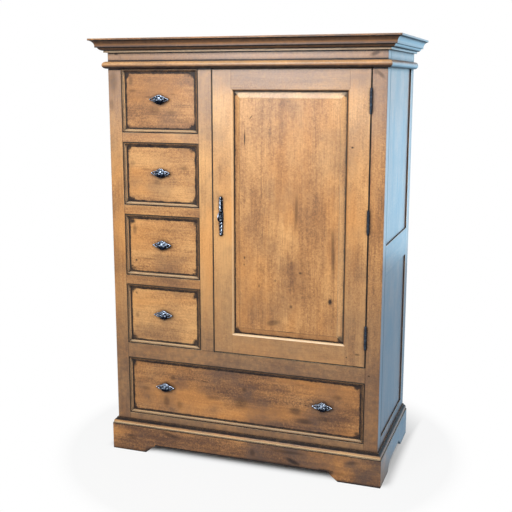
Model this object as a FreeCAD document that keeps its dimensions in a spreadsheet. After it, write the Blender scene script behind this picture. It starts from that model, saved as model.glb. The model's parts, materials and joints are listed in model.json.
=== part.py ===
import FreeCAD, Part
import math
import os
import Sketcher

# Cupboard of solid wood: four small drawers beside a framed door, over one wide drawer.
# Millimetres, +Z up. The front faces -Y, and the right-hand side as seen from the front faces +X.
# The origin is on the floor, under the middle of the cornice's outline.

# Every length that can be set by itself, with what it measures.
SIZES = [
    # Case
    ("body_width", 1100.0, "case over the posts, left to right"),
    ("body_depth", 548.0, "case over the posts, front to back"),
    ("post_width", 55.0, "corner post, seen from the front"),
    ("post_depth", 58.0, "corner post, seen from the side"),
    ("post_edge_radius", 2.0, "rounding of the two front corners"),
    ("rail_thickness", 24.0, "front rails and centre stile"),
    ("side_rail_thickness", 22.0, "rails of the side frames"),
    ("board_thickness", 18.0, "top, waist and bottom boards, partition"),
    ("back_thickness", 8.0, "back panel"),
    ("back_lap", 10.0, "how far the back panel laps the rear posts"),
    ("centre_stile_width", 56.0, "stile between drawers and door"),
    ("small_drawer_width", 324.0, "opening of the small drawers"),
    # Heights of the front, from the floor up
    ("wide_drawer_floor", 161.0, "top of the bottom rail"),
    ("bottom_rail_height", 61.0, "bottom rail"),
    ("wide_drawer_height", 242.0, "opening of the wide drawer"),
    ("waist_rail_height", 60.5, "rail over the wide drawer"),
    ("small_drawer_height", 249.0, "opening of drawers two, three and four"),
    ("drawer_rail_height", 37.0, "rail between two small drawers"),
    ("top_drawer_height", 245.5, "opening of drawer one, under the bead"),
    # Side frames
    ("side_bottom_rail_base", 60.0, "underside of the lowest side rail"),
    ("side_bottom_rail_top", 171.5, "its upper edge"),
    ("side_middle_rail_base", 811.0, "underside of the middle side rail"),
    ("side_middle_rail_height", 111.0, "middle side rail"),
    ("panel_thickness", 10.0, "side panels, and the tongues of the side rails"),
    ("panel_recess", 5.0, "side panel behind the face of its frame"),
    ("groove_depth", 10.0, "grooves that hold panels and tongues"),
    ("groove_play", 0.2, "play on each face of a panel or tongue"),
    ("panel_edge_gap", 1.0, "room at the bottom of a groove for the wood to move"),
    # Mouldings of the case
    ("cornice_height", 52.0, "cornice"),
    ("cornice_reach", 56.0, "how far the cornice stands out"),
    ("frieze_height", 34.0, "plain band between bead and cornice"),
    ("bead_height", 27.0, "half-round bead"),
    ("bead_reach", 18.0, "how far the bead stands out"),
    ("base_moulding_height", 20.5, "moulding on top of the plinth"),
    ("base_moulding_reach", 15.0, "how far it stands out"),
    # Plinth
    ("plinth_height", 113.0, "plinth boards"),
    ("plinth_thickness", 18.0, "plinth boards"),
    ("foot_clearance", 33.0, "height of the cut-outs between the feet"),
    ("foot_slant", 42.0, "length of the sloped end of a foot"),
    ("left_foot_length", 150.0, "left foot along the front"),
    ("right_foot_length", 167.0, "right foot along the front"),
    ("side_foot_length", 150.0, "front foot along the side"),
    ("rear_foot_length", 130.0, "rear foot along the side"),
    # Door
    ("door_thickness", 22.0, "door frame"),
    ("door_gap", 1.5, "gap at the free edge"),
    ("door_end_gap", 2.0, "gap over and under the door"),
    ("hinge_gap", 3.0, "gap at the hinges, which holds both leaves"),
    ("door_stile_width", 85.0, "door stiles with their moulded edge"),
    ("door_rail_width", 83.0, "door rails with their moulded edge"),
    ("sticking_width", 10.0, "moulded inner edge of the door frame"),
    ("sticking_radius", 9.0, "rounding of that edge"),
    ("door_panel_thickness", 6.0, "edge of the door panel in its groove"),
    ("door_panel_setback", 9.5, "front of that edge behind the door's face"),
    ("door_groove_depth", 9.0, "groove of the door frame"),
    ("bevel_width", 24.0, "sloped border of the raised panel"),
    ("bevel_rise", 4.5, "how far that border rises"),
    ("field_step", 1.5, "small step round the raised field"),
    # Catch behind the free edge of the door
    ("catch_length", 40.0, "catch, along the stile"),
    ("catch_width", 46.0, "catch, across the stile"),
    ("catch_depth", 15.0, "catch, behind the stile"),
    ("catch_reach", 16.0, "how far the catch passes the stile's edge"),
    ("catch_plate_thickness", 1.6, "plate on the back of the door"),
    ("catch_plate_width", 12.0, "plate on the back of the door"),
    # Hinges
    ("hinge_height", 76.0, "knuckles of one hinge"),
    ("hinge_inset", 114.75, "middle of an outer hinge from the end of the door"),
    ("knuckle_radius", 4.5, "barrel"),
    ("knuckle_gap", 0.3, "gap between two knuckles, and beside the barrel"),
    ("leaf_thickness", 1.2, "hinge leaf"),
    ("leaf_depth", 19.0, "hinge leaf behind the front of the case"),
    ("pin_radius", 2.0, "hinge pin"),
    ("pin_play", 0.05, "running play round the pin"),
    ("finial_radius", 4.2, "ball at each end of the pin"),
    ("screw_radius", 1.6, "hinge screw"),
    ("screw_head_radius", 3.0, "its countersunk head"),
    ("screw_length", 16.0, "hinge screw"),
    ("screw_play", 0.05, "play round the screw"),
    ("screw_spacing", 26.0, "from the middle screw to the others"),
    ("screw_setback", 9.5, "screws behind the front of the case"),
    # Door pull
    ("plate_length", 146.0, "long back plate"),
    ("plate_width", 18.0, "long back plate"),
    ("plate_thickness", 3.0, "long back plate"),
    ("plate_inset", 34.0, "its middle from the free edge of the door"),
    ("plate_drop", 5.0, "its middle below the middle of the door"),
    ("plate_tip_radius", 4.0, "ball at each end of the plate"),
    ("bow_radius", 18.0, "round end of the bow, to the middle of its wire"),
    ("bow_leg", 16.0, "straight legs of the bow"),
    ("bow_wire_radius", 2.8, "wire of the bow"),
    # Drawers
    ("drawer_gap", 1.5, "gap round a drawer front"),
    ("drawer_recess", 9.0, "field behind the face of the case"),
    ("drawer_moulding_width", 15.0, "moulding round a drawer front"),
    ("slab_thickness", 15.0, "drawer front behind the moulding"),
    ("box_depth", 486.0, "drawer box behind its front"),
    ("box_side_thickness", 12.0, "sides and back of a drawer box"),
    ("box_top_gap", 25.0, "from the box's upper edge to the top of the opening"),
    ("box_bottom_thickness", 6.0, "bottom of a drawer box"),
    ("box_bottom_rise", 10.0, "underside of that bottom above the sides' edges"),
    ("box_groove_depth", 4.0, "groove in the sides for the bottom"),
    ("running_gap", 0.1, "box above its runners"),
    # Runners, guides and stops
    ("runner_width", 15.0, "runner under a drawer side"),
    ("runner_height", 18.0, "runner under a drawer side"),
    ("guide_thickness", 24.0, "guide beside a drawer, between the posts"),
    ("guide_height", 40.0, "guide above the runner"),
    ("stop_width", 15.0, "stop behind a drawer box"),
    ("stop_depth", 14.0, "stop behind a drawer box"),
    ("stop_height", 30.0, "stop behind a drawer box"),
    ("stop_gap", 0.3, "box in front of its stop"),
    # Shelves
    ("shelf_thickness", 20.0, "shelves behind the door"),
    ("shelf_end_gap", 2.0, "shelf before and behind, to the posts"),
    ("lower_shelf_height", 830.0, "underside of the lower shelf"),
    ("upper_shelf_height", 1200.0, "underside of the upper shelf"),
    ("cleat_thickness", 16.0, "cleats under the shelves"),
    ("cleat_height", 25.0, "cleats under the shelves"),
    # Cast pulls of the drawers
    ("pull_length", 72.0, "head of a pull without its tips"),
    ("pull_height", 37.0, "head of a pull"),
    ("pull_thickness", 9.0, "head of a pull"),
    ("pull_standoff", 10.0, "gap behind the head"),
    ("pull_bevel", 2.5, "sloped border of the head"),
    ("pull_boss_radius", 9.0, "round middle of the head"),
    ("pull_boss_rise", 4.0, "how far the middle stands in front of the head"),
    ("pull_tip_radius", 4.0, "ball at each end of the head"),
    ("pull_stem_radius", 6.0, "stem behind the head"),
    ("shank_radius", 2.5, "shank through the drawer front"),
    ("shank_play", 0.1, "play round the shank"),
    ("pull_rise", 6.0, "pull above the middle of its front"),
    ("wide_pull_inset", 164.0, "pull from the end of the wide opening"),
]

# Closest two points may lie and still count as one.
TOUCH = 1e-3

# Sections of the mouldings: outward and upward shares of their reach and height.
# A third number is the turn, in degrees, of the arc that reaches the point.
CORNICE_SHARES = [
    (0, 0),
    (0.21, 0),
    (0.21, 0.15),
    (0.52, 0.36, 80),
    (0.65, 0.36),
    (0.65, 0.46),
    (0.96, 0.86, -75),
    (1, 0.86),
    (1, 1),
    (0, 1),
]
BEAD_SHARES = [
    (0, 0),
    (0.25, 0),
    (1, 0.5, 90),
    (0.25, 1, 90),
    (0, 1),
]
BASE_MOULDING_SHARES = [
    (0, 0),
    (1, 0),
    (1, 0.22),
    (0.35, 0.8, 80),
    (0.35, 1),
    (0, 1),
]
# Inward and outward shares of the width and depth of the moulding on a drawer front.
DRAWER_MOULDING_SHARES = [
    (0, 0),
    (1, 0),
    (1, 0.22),
    (0.76, 0.22),
    (0.28, 0.82, 75),
    (0.28, 1),
    (0, 1),
]
# Outline of a pull's head, and of the door pull's plate: shares of length and height.
PULL_SHARES = [
    (0, 0.5),
    (0.23, 0.24),
    (0.5, 0, 35),
    (0.77, 0.24, 35),
    (1, 0.5),
    (0.77, 0.76),
    (0.5, 1, 35),
    (0.23, 0.76, 35),
]
# The open triangle in each end of a pull's head.
PULL_LOOP_SHARES = [
    [(0.09, 0.5), (0.21, 0.37), (0.21, 0.63)],
    [(0.91, 0.5), (0.79, 0.63), (0.79, 0.37)],
]
PLATE_SHARES = [
    (0.25, 0),
    (0.75, 0),
    (0.75, 0.28),
    (1, 0.5, 30),
    (0.75, 0.72, 30),
    (0.75, 1),
    (0.25, 1),
    (0.25, 0.72),
    (0, 0.5, 30),
    (0.25, 0.28, 30),
]

doc = FreeCAD.newDocument("cupboard")
sheet = doc.addObject("Spreadsheet::Sheet", "sizes")
nodes = {}


class Size:
    """A length: its value, and the expression that binds it to the sheet."""

    def __init__(self, value, text):
        self.value = value
        self.text = text

    def __add__(self, other):
        other = as_size(other)
        return Size(self.value + other.value, f"({self.text} + {other.text})")

    def __radd__(self, other):
        return as_size(other) + self

    def __sub__(self, other):
        other = as_size(other)
        return Size(self.value - other.value, f"({self.text} - {other.text})")

    def __rsub__(self, other):
        return as_size(other) - self

    def __neg__(self):
        return Size(-self.value, f"(-1 * {self.text})")

    def __mul__(self, share):
        return Size(self.value * share, f"({self.text} * {share})")

    def __rmul__(self, share):
        return self * share

    def __truediv__(self, share):
        return Size(self.value / share, f"({self.text} / {share})")


def as_size(number):
    """A Size as it is, or a plain number made into one."""
    if isinstance(number, Size):
        return number
    return Size(float(number), f"{float(number)}")


def diagonal(across, up):
    """The straight distance over two lengths at a right angle."""
    across = as_size(across)
    up = as_size(up)
    text = f"sqrt({across.text} * {across.text} + {up.text} * {up.text})"
    return Size(math.hypot(across.value, up.value), text)


class Sheet:
    """The sizes of the sheet, each read as an attribute."""

    def __init__(self, rows):
        for row, (alias, number, meaning) in enumerate(rows, start=1):
            sheet.set(f"A{row}", meaning)
            sheet.set(f"B{row}", f"{number}")
            sheet.setAlias(f"B{row}", alias)
            setattr(self, alias, Size(number, f"<<sizes>>.{alias}"))
        doc.recompute()


s = Sheet(SIZES)


def bind(thing, name, size):
    """Tie one property to the sheet."""
    thing.setExpression(name, as_size(size).text)


def vector(point):
    """The point's present place."""
    return FreeCAD.Vector(*[as_size(part).value for part in point])


def turned(axis, degrees):
    """A rotation about an axis of the frame."""
    return FreeCAD.Rotation(FreeCAD.Vector(*axis), degrees)


UNTURNED = turned((0, 0, 1), 0)
FROM_Z_TO_X = turned((0, 1, 0), 90)
FROM_Z_TO_BACK = turned((1, 0, 0), -90)


class Piece:
    """One solid piece: a body, placed by its own corner, whose features follow the sheet."""

    def __init__(self, name, at, turn=UNTURNED):
        self.body = doc.addObject("PartDesign::Body", name)
        self.body.Label = name
        self.body.Placement = FreeCAD.Placement(vector(at), turn)
        for letter, size in zip("xyz", at):
            bind(self.body, f"Placement.Base.{letter}", size)

    def feature(self, kind, at, sizes, turn=UNTURNED):
        """A primitive of the given kind, added to the piece or cut from it."""
        made = self.body.newObject(f"PartDesign::{kind}", f"{self.body.Name}_{kind}")
        made.Placement = FreeCAD.Placement(vector(at), turn)
        for letter, size in zip("xyz", at):
            bind(made, f"Placement.Base.{letter}", size)
        for name, size in sizes.items():
            bind(made, name, size)
        return made

    def box(self, at, extent, cut=False):
        kind = "SubtractiveBox" if cut else "AdditiveBox"
        return self.feature(kind, at, dict(zip(("Length", "Width", "Height"), extent)))

    def cylinder(self, at, radius, length, turn=UNTURNED, cut=False):
        kind = "SubtractiveCylinder" if cut else "AdditiveCylinder"
        return self.feature(kind, at, {"Radius": radius, "Height": length}, turn)

    def cone(self, at, start_radius, end_radius, length, turn=UNTURNED, cut=False):
        kind = "SubtractiveCone" if cut else "AdditiveCone"
        sizes = {"Radius1": start_radius, "Radius2": end_radius, "Height": length}
        return self.feature(kind, at, sizes, turn)

    def ball(self, at, radius):
        return self.feature("AdditiveSphere", at, {"Radius": radius})

    def plane(self, role):
        """One of the piece's own origin planes."""
        return [thing for thing in self.body.Origin.OriginFeatures if thing.Role == role][0]

    def sketch(self, role, corners):
        """A closed outline on an origin plane, each corner and arc bound to the sheet."""
        drawing = self.body.newObject("Sketcher::SketchObject", f"{self.body.Name}_outline")
        drawing.AttachmentSupport = [(self.plane(role), "")]
        drawing.MapMode = "FlatFace"
        places = [(as_size(corner[0]), as_size(corner[1])) for corner in corners]
        if (places[-1][0].value, places[-1][1].value) == (places[0][0].value, places[0][1].value):
            closing_turn = corners[-1][2]
            places = places[:-1]
        else:
            closing_turn = 0
        count = len(places)
        turns = [corner[2] if len(corner) > 2 else 0 for corner in corners[1:count]] + [closing_turn]
        lines = [
            self.edge(drawing, places[i], places[(i + 1) % count], turns[i]) for i in range(count)
        ]
        for i in range(count):
            geometry, start, end = lines[i]
            following, next_start, next_end = lines[(i + 1) % count]
            drawing.addConstraint(
                Sketcher.Constraint("Coincident", geometry, end, following, next_start)
            )
            self.hold(drawing, geometry, start, places[i])
        return drawing

    def edge(self, drawing, start, end, turn):
        """A straight edge, or an arc of the given turn; positive turns go to the left."""
        here = FreeCAD.Vector(start[0].value, start[1].value, 0)
        there = FreeCAD.Vector(end[0].value, end[1].value, 0)
        if turn == 0:
            return drawing.addGeometry(Part.LineSegment(here, there)), 1, 2
        half_turn = math.radians(abs(turn)) / 2
        radius = diagonal(end[0] - start[0], end[1] - start[1]) / (2 * math.sin(half_turn))
        chord = there - here
        left = FreeCAD.Vector(-chord.y, chord.x, 0).normalize()
        side = 1 if turn > 0 else -1
        centre = (here + there) / 2 + left * side * radius.value * math.cos(half_turn)
        first, last = (here, there) if turn > 0 else (there, here)
        first_angle = math.atan2(first.y - centre.y, first.x - centre.x)
        last_angle = math.atan2(last.y - centre.y, last.x - centre.x)
        circle = Part.Circle(centre, FreeCAD.Vector(0, 0, 1), radius.value)
        arc = drawing.addGeometry(Part.ArcOfCircle(circle, first_angle, last_angle))
        number = drawing.addConstraint(Sketcher.Constraint("Radius", arc, radius.value))
        bind(drawing, f"Constraints[{number}]", radius)
        return (arc, 1, 2) if turn > 0 else (arc, 2, 1)

    def hold(self, drawing, geometry, end, place):
        """Fix one corner by its distances from the sketch's origin."""
        for kind, size, axis in (("DistanceX", place[0], -2), ("DistanceY", place[1], -1)):
            if size.value == 0:
                drawing.addConstraint(Sketcher.Constraint("PointOnObject", geometry, end, axis))
                continue
            rule = Sketcher.Constraint(kind, -1, 1, geometry, end, size.value)
            number = drawing.addConstraint(rule)
            bind(drawing, f"Constraints[{number}]", size)

    def pad(self, role, corners, length, backwards=False):
        """The outline on an origin plane, raised by a length."""
        drawing = self.sketch(role, corners)
        made = self.body.newObject("PartDesign::Pad", f"{self.body.Name}_pad")
        made.Profile = drawing
        made.Reversed = backwards
        bind(made, "Length", length)
        return made

    def pocket(self, role, corners):
        """The outline on an origin plane, cut right through the piece."""
        drawing = self.sketch(role, corners)
        made = self.body.newObject("PartDesign::Pocket", f"{self.body.Name}_pocket")
        made.Profile = drawing
        made.Type = "ThroughAll"
        made.SideType = "Symmetric"
        return made

    def edges_at(self, points):
        """The last feature, and the names of its edges that pass through the points."""
        doc.recompute()
        last = self.body.Tip
        names = []
        for point in points:
            spot = Part.Vertex(vector(point))
            for number, edge in enumerate(last.Shape.Edges, start=1):
                if edge.distToShape(spot)[0] < TOUCH:
                    names.append(f"Edge{number}")
        return last, names

    def round_edges(self, points, radius):
        """A rounding on the edges that pass through the points."""
        base = self.edges_at(points)
        made = self.body.newObject("PartDesign::Fillet", f"{self.body.Name}_rounding")
        made.Base = base
        bind(made, "Radius", radius)
        return made

    def bevel_front(self, reach, size):
        """A bevel on the edges that lie the given reach in front of the piece's own place."""
        doc.recompute()
        last = self.body.Tip
        names = [
            f"Edge{number}"
            for number, edge in enumerate(last.Shape.Edges, start=1)
            if edge.BoundBox.YMax < -reach.value + TOUCH
        ]
        made = self.body.newObject("PartDesign::Chamfer", f"{self.body.Name}_bevel")
        made.Base = (last, names)
        bind(made, "Size", size)
        return made


def node(name, pieces):
    """Name a node of the cupboard: one piece, or a group of separate pieces."""
    if len(pieces) == 1:
        nodes[name] = pieces[0].body
        return
    group = doc.addObject("Part::Compound", name)
    group.Links = [piece.body for piece in pieces]
    group.Label = name
    nodes[name] = group


def board(name, at, extent):
    """A plain squared board."""
    piece = Piece(name, at)
    piece.box((0, 0, 0), extent)
    return piece


def board_node(name, at, extent):
    """A plain squared board that is a node by itself."""
    node(name, [board(name, at, extent)])


# Planes of the case
left = -s.body_width / 2
right = s.body_width / 2
front = (s.cornice_reach - s.body_depth) / 2
back = front + s.body_depth

# Levels of the case
wide_drawer_top = s.wide_drawer_floor + s.wide_drawer_height
waist = wide_drawer_top + s.waist_rail_height
drawer_step = s.small_drawer_height + s.drawer_rail_height
bead_base = waist + 3 * drawer_step + s.top_drawer_height
cornice_base = bead_base + s.bead_height + s.frieze_height
case_top = cornice_base + s.cornice_height
post_top = case_top - s.board_thickness

# Upright lines of the front
opening_left = left + s.post_width
opening_right = right - s.post_width
opening_width = s.body_width - 2 * s.post_width
stile_left = opening_left + s.small_drawer_width
door_opening_left = stile_left + s.centre_stile_width
partition_right = stile_left + s.board_thickness
between_posts = s.body_depth - 2 * s.post_depth
front_post_back = front + s.post_depth
rear_post_front = back - s.post_depth
rail_back = front + s.rail_thickness
back_panel_front = back - s.back_thickness

# Lines of the hinges and of the door
axis_x = opening_right - s.hinge_gap / 2
axis_y = front - s.knuckle_radius - s.knuckle_gap
door_left = door_opening_left + s.door_gap
door_right = opening_right - s.hinge_gap
door_bottom = waist + s.door_end_gap
door_top = bead_base - s.door_end_gap
door_height = door_top - door_bottom
door_middle = (door_bottom + door_top) / 2
hinge_levels = [door_bottom + s.hinge_inset, door_middle, door_top - s.hinge_inset]
screw_levels = [
    level + offset
    for level in hinge_levels
    for offset in (-s.screw_spacing, as_size(0), s.screw_spacing)
]
screw_y = front + s.screw_setback
groove_width = s.panel_thickness + 2 * s.groove_play


def post(name, side, end):
    """A corner post from the floor to the top board, grooved for its side frame."""
    x = left if side == "left" else right - s.post_width
    y = front if end == "front" else rear_post_front
    piece = Piece(name, (x, y, 0))
    piece.box((0, 0, 0), (s.post_width, s.post_depth, post_top))
    groove_start = s.panel_recess - s.groove_play
    groove_x = groove_start if side == "left" else s.post_width - groove_start - groove_width
    groove_y = s.post_depth - s.groove_depth if end == "front" else 0
    groove_height = post_top - s.side_bottom_rail_base
    piece.box(
        (groove_x, groove_y, s.side_bottom_rail_base),
        (groove_width, s.groove_depth, groove_height),
        cut=True,
    )
    if end == "rear":
        lap_x = s.post_width - s.back_lap if side == "left" else 0
        lap_depth = s.back_thickness + s.groove_play
        piece.box(
            (lap_x, s.post_depth - lap_depth, 0), (s.back_lap, lap_depth, post_top), cut=True
        )
    if name == "right_front_post":
        for level in screw_levels:
            piece.cylinder(
                (0, s.screw_setback, level),
                s.screw_radius + s.screw_play,
                s.screw_length,
                FROM_Z_TO_X,
                cut=True,
            )
    if end == "front":
        corner_x = 0 if side == "left" else s.post_width
        piece.round_edges([(corner_x, 0, post_top / 2)], s.post_edge_radius)
    node(name, [piece])


def case_front():
    """Rails and stile of the front frame."""
    levels = {
        "top_rail": (bead_base, post_top - bead_base),
        "waist_rail": (wide_drawer_top, s.waist_rail_height),
        "bottom_rail": (s.wide_drawer_floor - s.bottom_rail_height, s.bottom_rail_height),
    }
    for name, (base, height) in levels.items():
        board_node(name, (opening_left, front, base), (opening_width, s.rail_thickness, height))
    stile_size = (s.centre_stile_width, s.rail_thickness, bead_base - waist)
    board_node("centre_stile", (stile_left, front, waist), stile_size)
    rails = [
        board(
            f"drawer_rail_{number}",
            (opening_left, front, waist + number * drawer_step - s.drawer_rail_height),
            (s.small_drawer_width, s.rail_thickness, s.drawer_rail_height),
        )
        for number in (1, 2, 3)
    ]
    node("drawer_rails", rails)


def side_rail(name, side, base, height, grooves):
    """A rail of a side frame: tongues at both ends, and a groove where a panel enters."""
    x = left if side == "left" else right - s.side_rail_thickness
    tongue = s.groove_depth - s.panel_edge_gap
    piece = Piece(name, (x, front_post_back, base))
    piece.box((0, 0, 0), (s.side_rail_thickness, between_posts, height))
    tongue_x = s.panel_recess
    if side == "right":
        tongue_x = s.side_rail_thickness - s.panel_recess - s.panel_thickness
    piece.box((tongue_x, -tongue, 0), (s.panel_thickness, between_posts + 2 * tongue, height))
    for edge in grooves:
        piece.box(
            (tongue_x - s.groove_play, -tongue, height - s.groove_depth if edge == "top" else 0),
            (groove_width, between_posts + 2 * tongue, s.groove_depth),
            cut=True,
        )
    return piece


def side_panel(name, side, base, top):
    """A flat panel that stands in the grooves of its frame."""
    x = left + s.panel_recess
    if side == "right":
        x = right - s.panel_recess - s.panel_thickness
    entry = s.groove_depth - s.panel_edge_gap
    return board(
        name,
        (x, front_post_back - entry, base - entry),
        (s.panel_thickness, between_posts + 2 * entry, top - base + 2 * entry),
    )


def side_frame(side):
    """Three rails and two panels between a front post and a rear post."""
    middle_top = s.side_middle_rail_base + s.side_middle_rail_height
    bottom_height = s.side_bottom_rail_top - s.side_bottom_rail_base
    rails = [
        side_rail(f"{side}_side_bottom_rail", side, s.side_bottom_rail_base, bottom_height, ["top"]),
        side_rail(
            f"{side}_side_middle_rail",
            side,
            s.side_middle_rail_base,
            s.side_middle_rail_height,
            ["bottom", "top"],
        ),
        side_rail(f"{side}_side_top_rail", side, bead_base, post_top - bead_base, ["bottom"]),
    ]
    node(f"{side}_side_rails", rails)
    panels = [
        side_panel(f"{side}_lower_panel", side, s.side_bottom_rail_top, s.side_middle_rail_base),
        side_panel(f"{side}_upper_panel", side, middle_top, bead_base),
    ]
    node(f"{side}_side_panels", panels)


def notched_board(name, top):
    """A board across the case, cut out round the four posts."""
    width = s.body_width - 2 * s.side_rail_thickness
    depth = back_panel_front - rail_back
    piece = Piece(name, (left + s.side_rail_thickness, rail_back, top - s.board_thickness))
    piece.box((0, 0, 0), (width, depth, s.board_thickness))
    notch_width = s.post_width - s.side_rail_thickness
    front_notch = s.post_depth - s.rail_thickness
    rear_notch = s.post_depth - s.back_thickness
    for x in (as_size(0), width - notch_width):
        piece.box((x, 0, 0), (notch_width, front_notch, s.board_thickness), cut=True)
        piece.box((x, depth - rear_notch, 0), (notch_width, rear_notch, s.board_thickness), cut=True)
    node(name, [piece])


def case_boards():
    """Top, waist and bottom boards, the partition and the back."""
    top_size = (s.body_width, s.body_depth, s.board_thickness)
    board_node("top_board", (left, front, post_top), top_size)
    notched_board("waist_board", waist)
    notched_board("bottom_board", s.wide_drawer_floor)
    partition_size = (s.board_thickness, back_panel_front - rail_back, post_top - waist)
    board_node("partition", (stile_left, rail_back, waist), partition_size)
    back_base = s.wide_drawer_floor - s.board_thickness
    back_width = opening_width + 2 * (s.back_lap - s.groove_play)
    back_size = (back_width, s.back_thickness, post_top - back_base)
    board_node("back_panel", (-back_width / 2, back_panel_front, back_base), back_size)


def shelving():
    """Two shelves behind the door, each on a cleat at both ends."""
    shelf_front = front_post_back + s.shelf_end_gap
    shelf_depth = between_posts - 2 * s.shelf_end_gap
    shelf_right = right - s.side_rail_thickness
    cleat_size = (s.cleat_thickness, between_posts, s.cleat_height)
    shelves = []
    cleats = []
    for name, base in (("lower", s.lower_shelf_height), ("upper", s.upper_shelf_height)):
        shelves.append(
            board(
                f"{name}_shelf",
                (partition_right, shelf_front, base),
                (shelf_right - partition_right, shelf_depth, s.shelf_thickness),
            )
        )
        cleat_base = base - s.cleat_height
        left_cleat = (partition_right, front_post_back, cleat_base)
        right_cleat = (shelf_right - s.cleat_thickness, front_post_back, cleat_base)
        cleats.append(board(f"{name}_left_cleat", left_cleat, cleat_size))
        cleats.append(board(f"{name}_right_cleat", right_cleat, cleat_size))
    node("shelves", shelves)
    node("shelf_cleats", cleats)


# Name, left edge, width, floor and height of each drawer's opening, from the top down.
drawers = [
    ("drawer_1", opening_left, s.small_drawer_width, waist + 3 * drawer_step, s.top_drawer_height),
    ("drawer_2", opening_left, s.small_drawer_width, waist + 2 * drawer_step, s.small_drawer_height),
    ("drawer_3", opening_left, s.small_drawer_width, waist + drawer_step, s.small_drawer_height),
    ("drawer_4", opening_left, s.small_drawer_width, waist, s.small_drawer_height),
    ("wide_drawer", opening_left, opening_width, s.wide_drawer_floor, s.wide_drawer_height),
]


def runners():
    """Guides between the posts, runners under the drawer sides, and stops behind the boxes."""
    guide_x = opening_left - s.guide_thickness
    guide_size = (s.guide_thickness, between_posts, s.guide_height)
    runner_size = (s.runner_width, rear_post_front - rail_back, s.runner_height)
    stop_size = (s.stop_width, s.stop_depth, s.stop_height)
    stop_y = rail_back + s.box_depth + s.stop_gap
    carriers = []
    stops = []
    for name, x, width, floor, height in drawers:
        carriers.append(board(f"{name}_left_guide", (guide_x, front_post_back, floor), guide_size))
        if name == "wide_drawer":
            right_guide = (opening_right, front_post_back, floor)
            carriers.append(board(f"{name}_right_guide", right_guide, guide_size))
        if name in ("drawer_1", "drawer_2", "drawer_3"):
            base = floor - s.runner_height
            right_x = x + width - s.runner_width
            carriers.append(board(f"{name}_left_runner", (x, rail_back, base), runner_size))
            carriers.append(board(f"{name}_right_runner", (right_x, rail_back, base), runner_size))
        stops.append(board(f"{name}_left_stop", (x, stop_y, floor), stop_size))
        stops.append(board(f"{name}_right_stop", (x + width - s.stop_width, stop_y, floor), stop_size))
    node("drawer_runners", carriers)
    node("drawer_stops", stops)


def section(shares, reach, height):
    """Corners of a moulding's section from its shares."""
    return [(share[0] * reach, share[1] * height, *share[2:]) for share in shares]


def outer_mitres(piece, length, reach, start, end):
    """Cut the ends that meet the next run round a corner of the case."""
    if start:
        piece.pocket("XY_Plane", [(0, 0), (reach, 0), (0, reach)])
    if end:
        piece.pocket("XY_Plane", [(length - reach, 0), (length, 0), (length, reach)])


def case_runs(name, reach, base):
    """The three runs round the case: name, place, turn, length and mitred ends."""
    side_length = s.body_depth + reach
    front_place = (right + reach, front, base)
    left_place = (left, front - reach, base)
    return [
        (f"{name}_front", front_place, turned((0, 0, 1), 180), s.body_width + 2 * reach, True, True),
        (f"{name}_right", (right, back, base), turned((0, 0, 1), -90), side_length, False, True),
        (f"{name}_left", left_place, turned((0, 0, 1), 90), side_length, True, False),
    ]


def case_moulding(name, shares, reach, height, base):
    """A moulding round the front and both sides, mitred at the front corners."""
    pieces = []
    for label, place, turn, length, start, end in case_runs(name, reach, base):
        piece = Piece(label, place, turn)
        piece.pad("YZ_Plane", section(shares, reach, height), length)
        outer_mitres(piece, length, reach, start, end)
        pieces.append(piece)
    node(name, pieces)


def plinth():
    """Three boards on the case's feet, cut out between the feet and mitred in front."""
    reach = s.plinth_thickness
    feet = {
        "plinth_front": (s.right_foot_length, s.left_foot_length),
        "plinth_right": (s.rear_foot_length, s.side_foot_length),
        "plinth_left": (s.side_foot_length, s.rear_foot_length),
    }
    pieces = []
    for label, place, turn, length, start, end in case_runs("plinth", reach, 0):
        first_foot, last_foot = feet[label]
        corners = [
            (0, 0),
            (first_foot, 0),
            (first_foot + s.foot_slant, s.foot_clearance),
            (length - last_foot - s.foot_slant, s.foot_clearance),
            (length - last_foot, 0),
            (length, 0),
            (length, s.plinth_height),
            (0, s.plinth_height),
        ]
        piece = Piece(label, place, turn)
        piece.pad("XZ_Plane", corners, reach, backwards=True)
        outer_mitres(piece, length, reach, start, end)
        pieces.append(piece)
    node("plinth", pieces)


def door_groove():
    """Where the groove of the door frame starts behind its face, and how wide it is."""
    return s.door_panel_setback - s.groove_play, s.door_panel_thickness + 2 * s.groove_play


def door_stile(name, x, sight_right):
    """A door stile with its moulded edge and groove, and a mitre where the rails' edges meet it."""
    w = s.door_stile_width
    flat = w - s.sticking_width
    rail_flat = s.door_rail_width - s.sticking_width
    if sight_right:
        corners = [
            (0, 0),
            (flat, 0),
            (flat, rail_flat),
            (w, s.door_rail_width),
            (w, door_height - s.door_rail_width),
            (flat, door_height - rail_flat),
            (flat, door_height),
            (0, door_height),
        ]
    else:
        corners = [
            (s.sticking_width, 0),
            (w, 0),
            (w, door_height),
            (s.sticking_width, door_height),
            (s.sticking_width, door_height - rail_flat),
            (0, door_height - s.door_rail_width),
            (0, s.door_rail_width),
            (s.sticking_width, rail_flat),
        ]
    piece = Piece(name, (x, front, door_bottom))
    piece.pad("XZ_Plane", corners, s.door_thickness, backwards=True)
    sight_x = w if sight_right else as_size(0)
    piece.round_edges([(sight_x, 0, door_height / 2)], s.sticking_radius)
    groove_base = s.door_rail_width - s.door_groove_depth
    groove_y, groove_thickness = door_groove()
    piece.box(
        (w - s.door_groove_depth if sight_right else 0, groove_y, groove_base),
        (s.door_groove_depth, groove_thickness, door_height - 2 * groove_base),
        cut=True,
    )
    return piece


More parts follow.
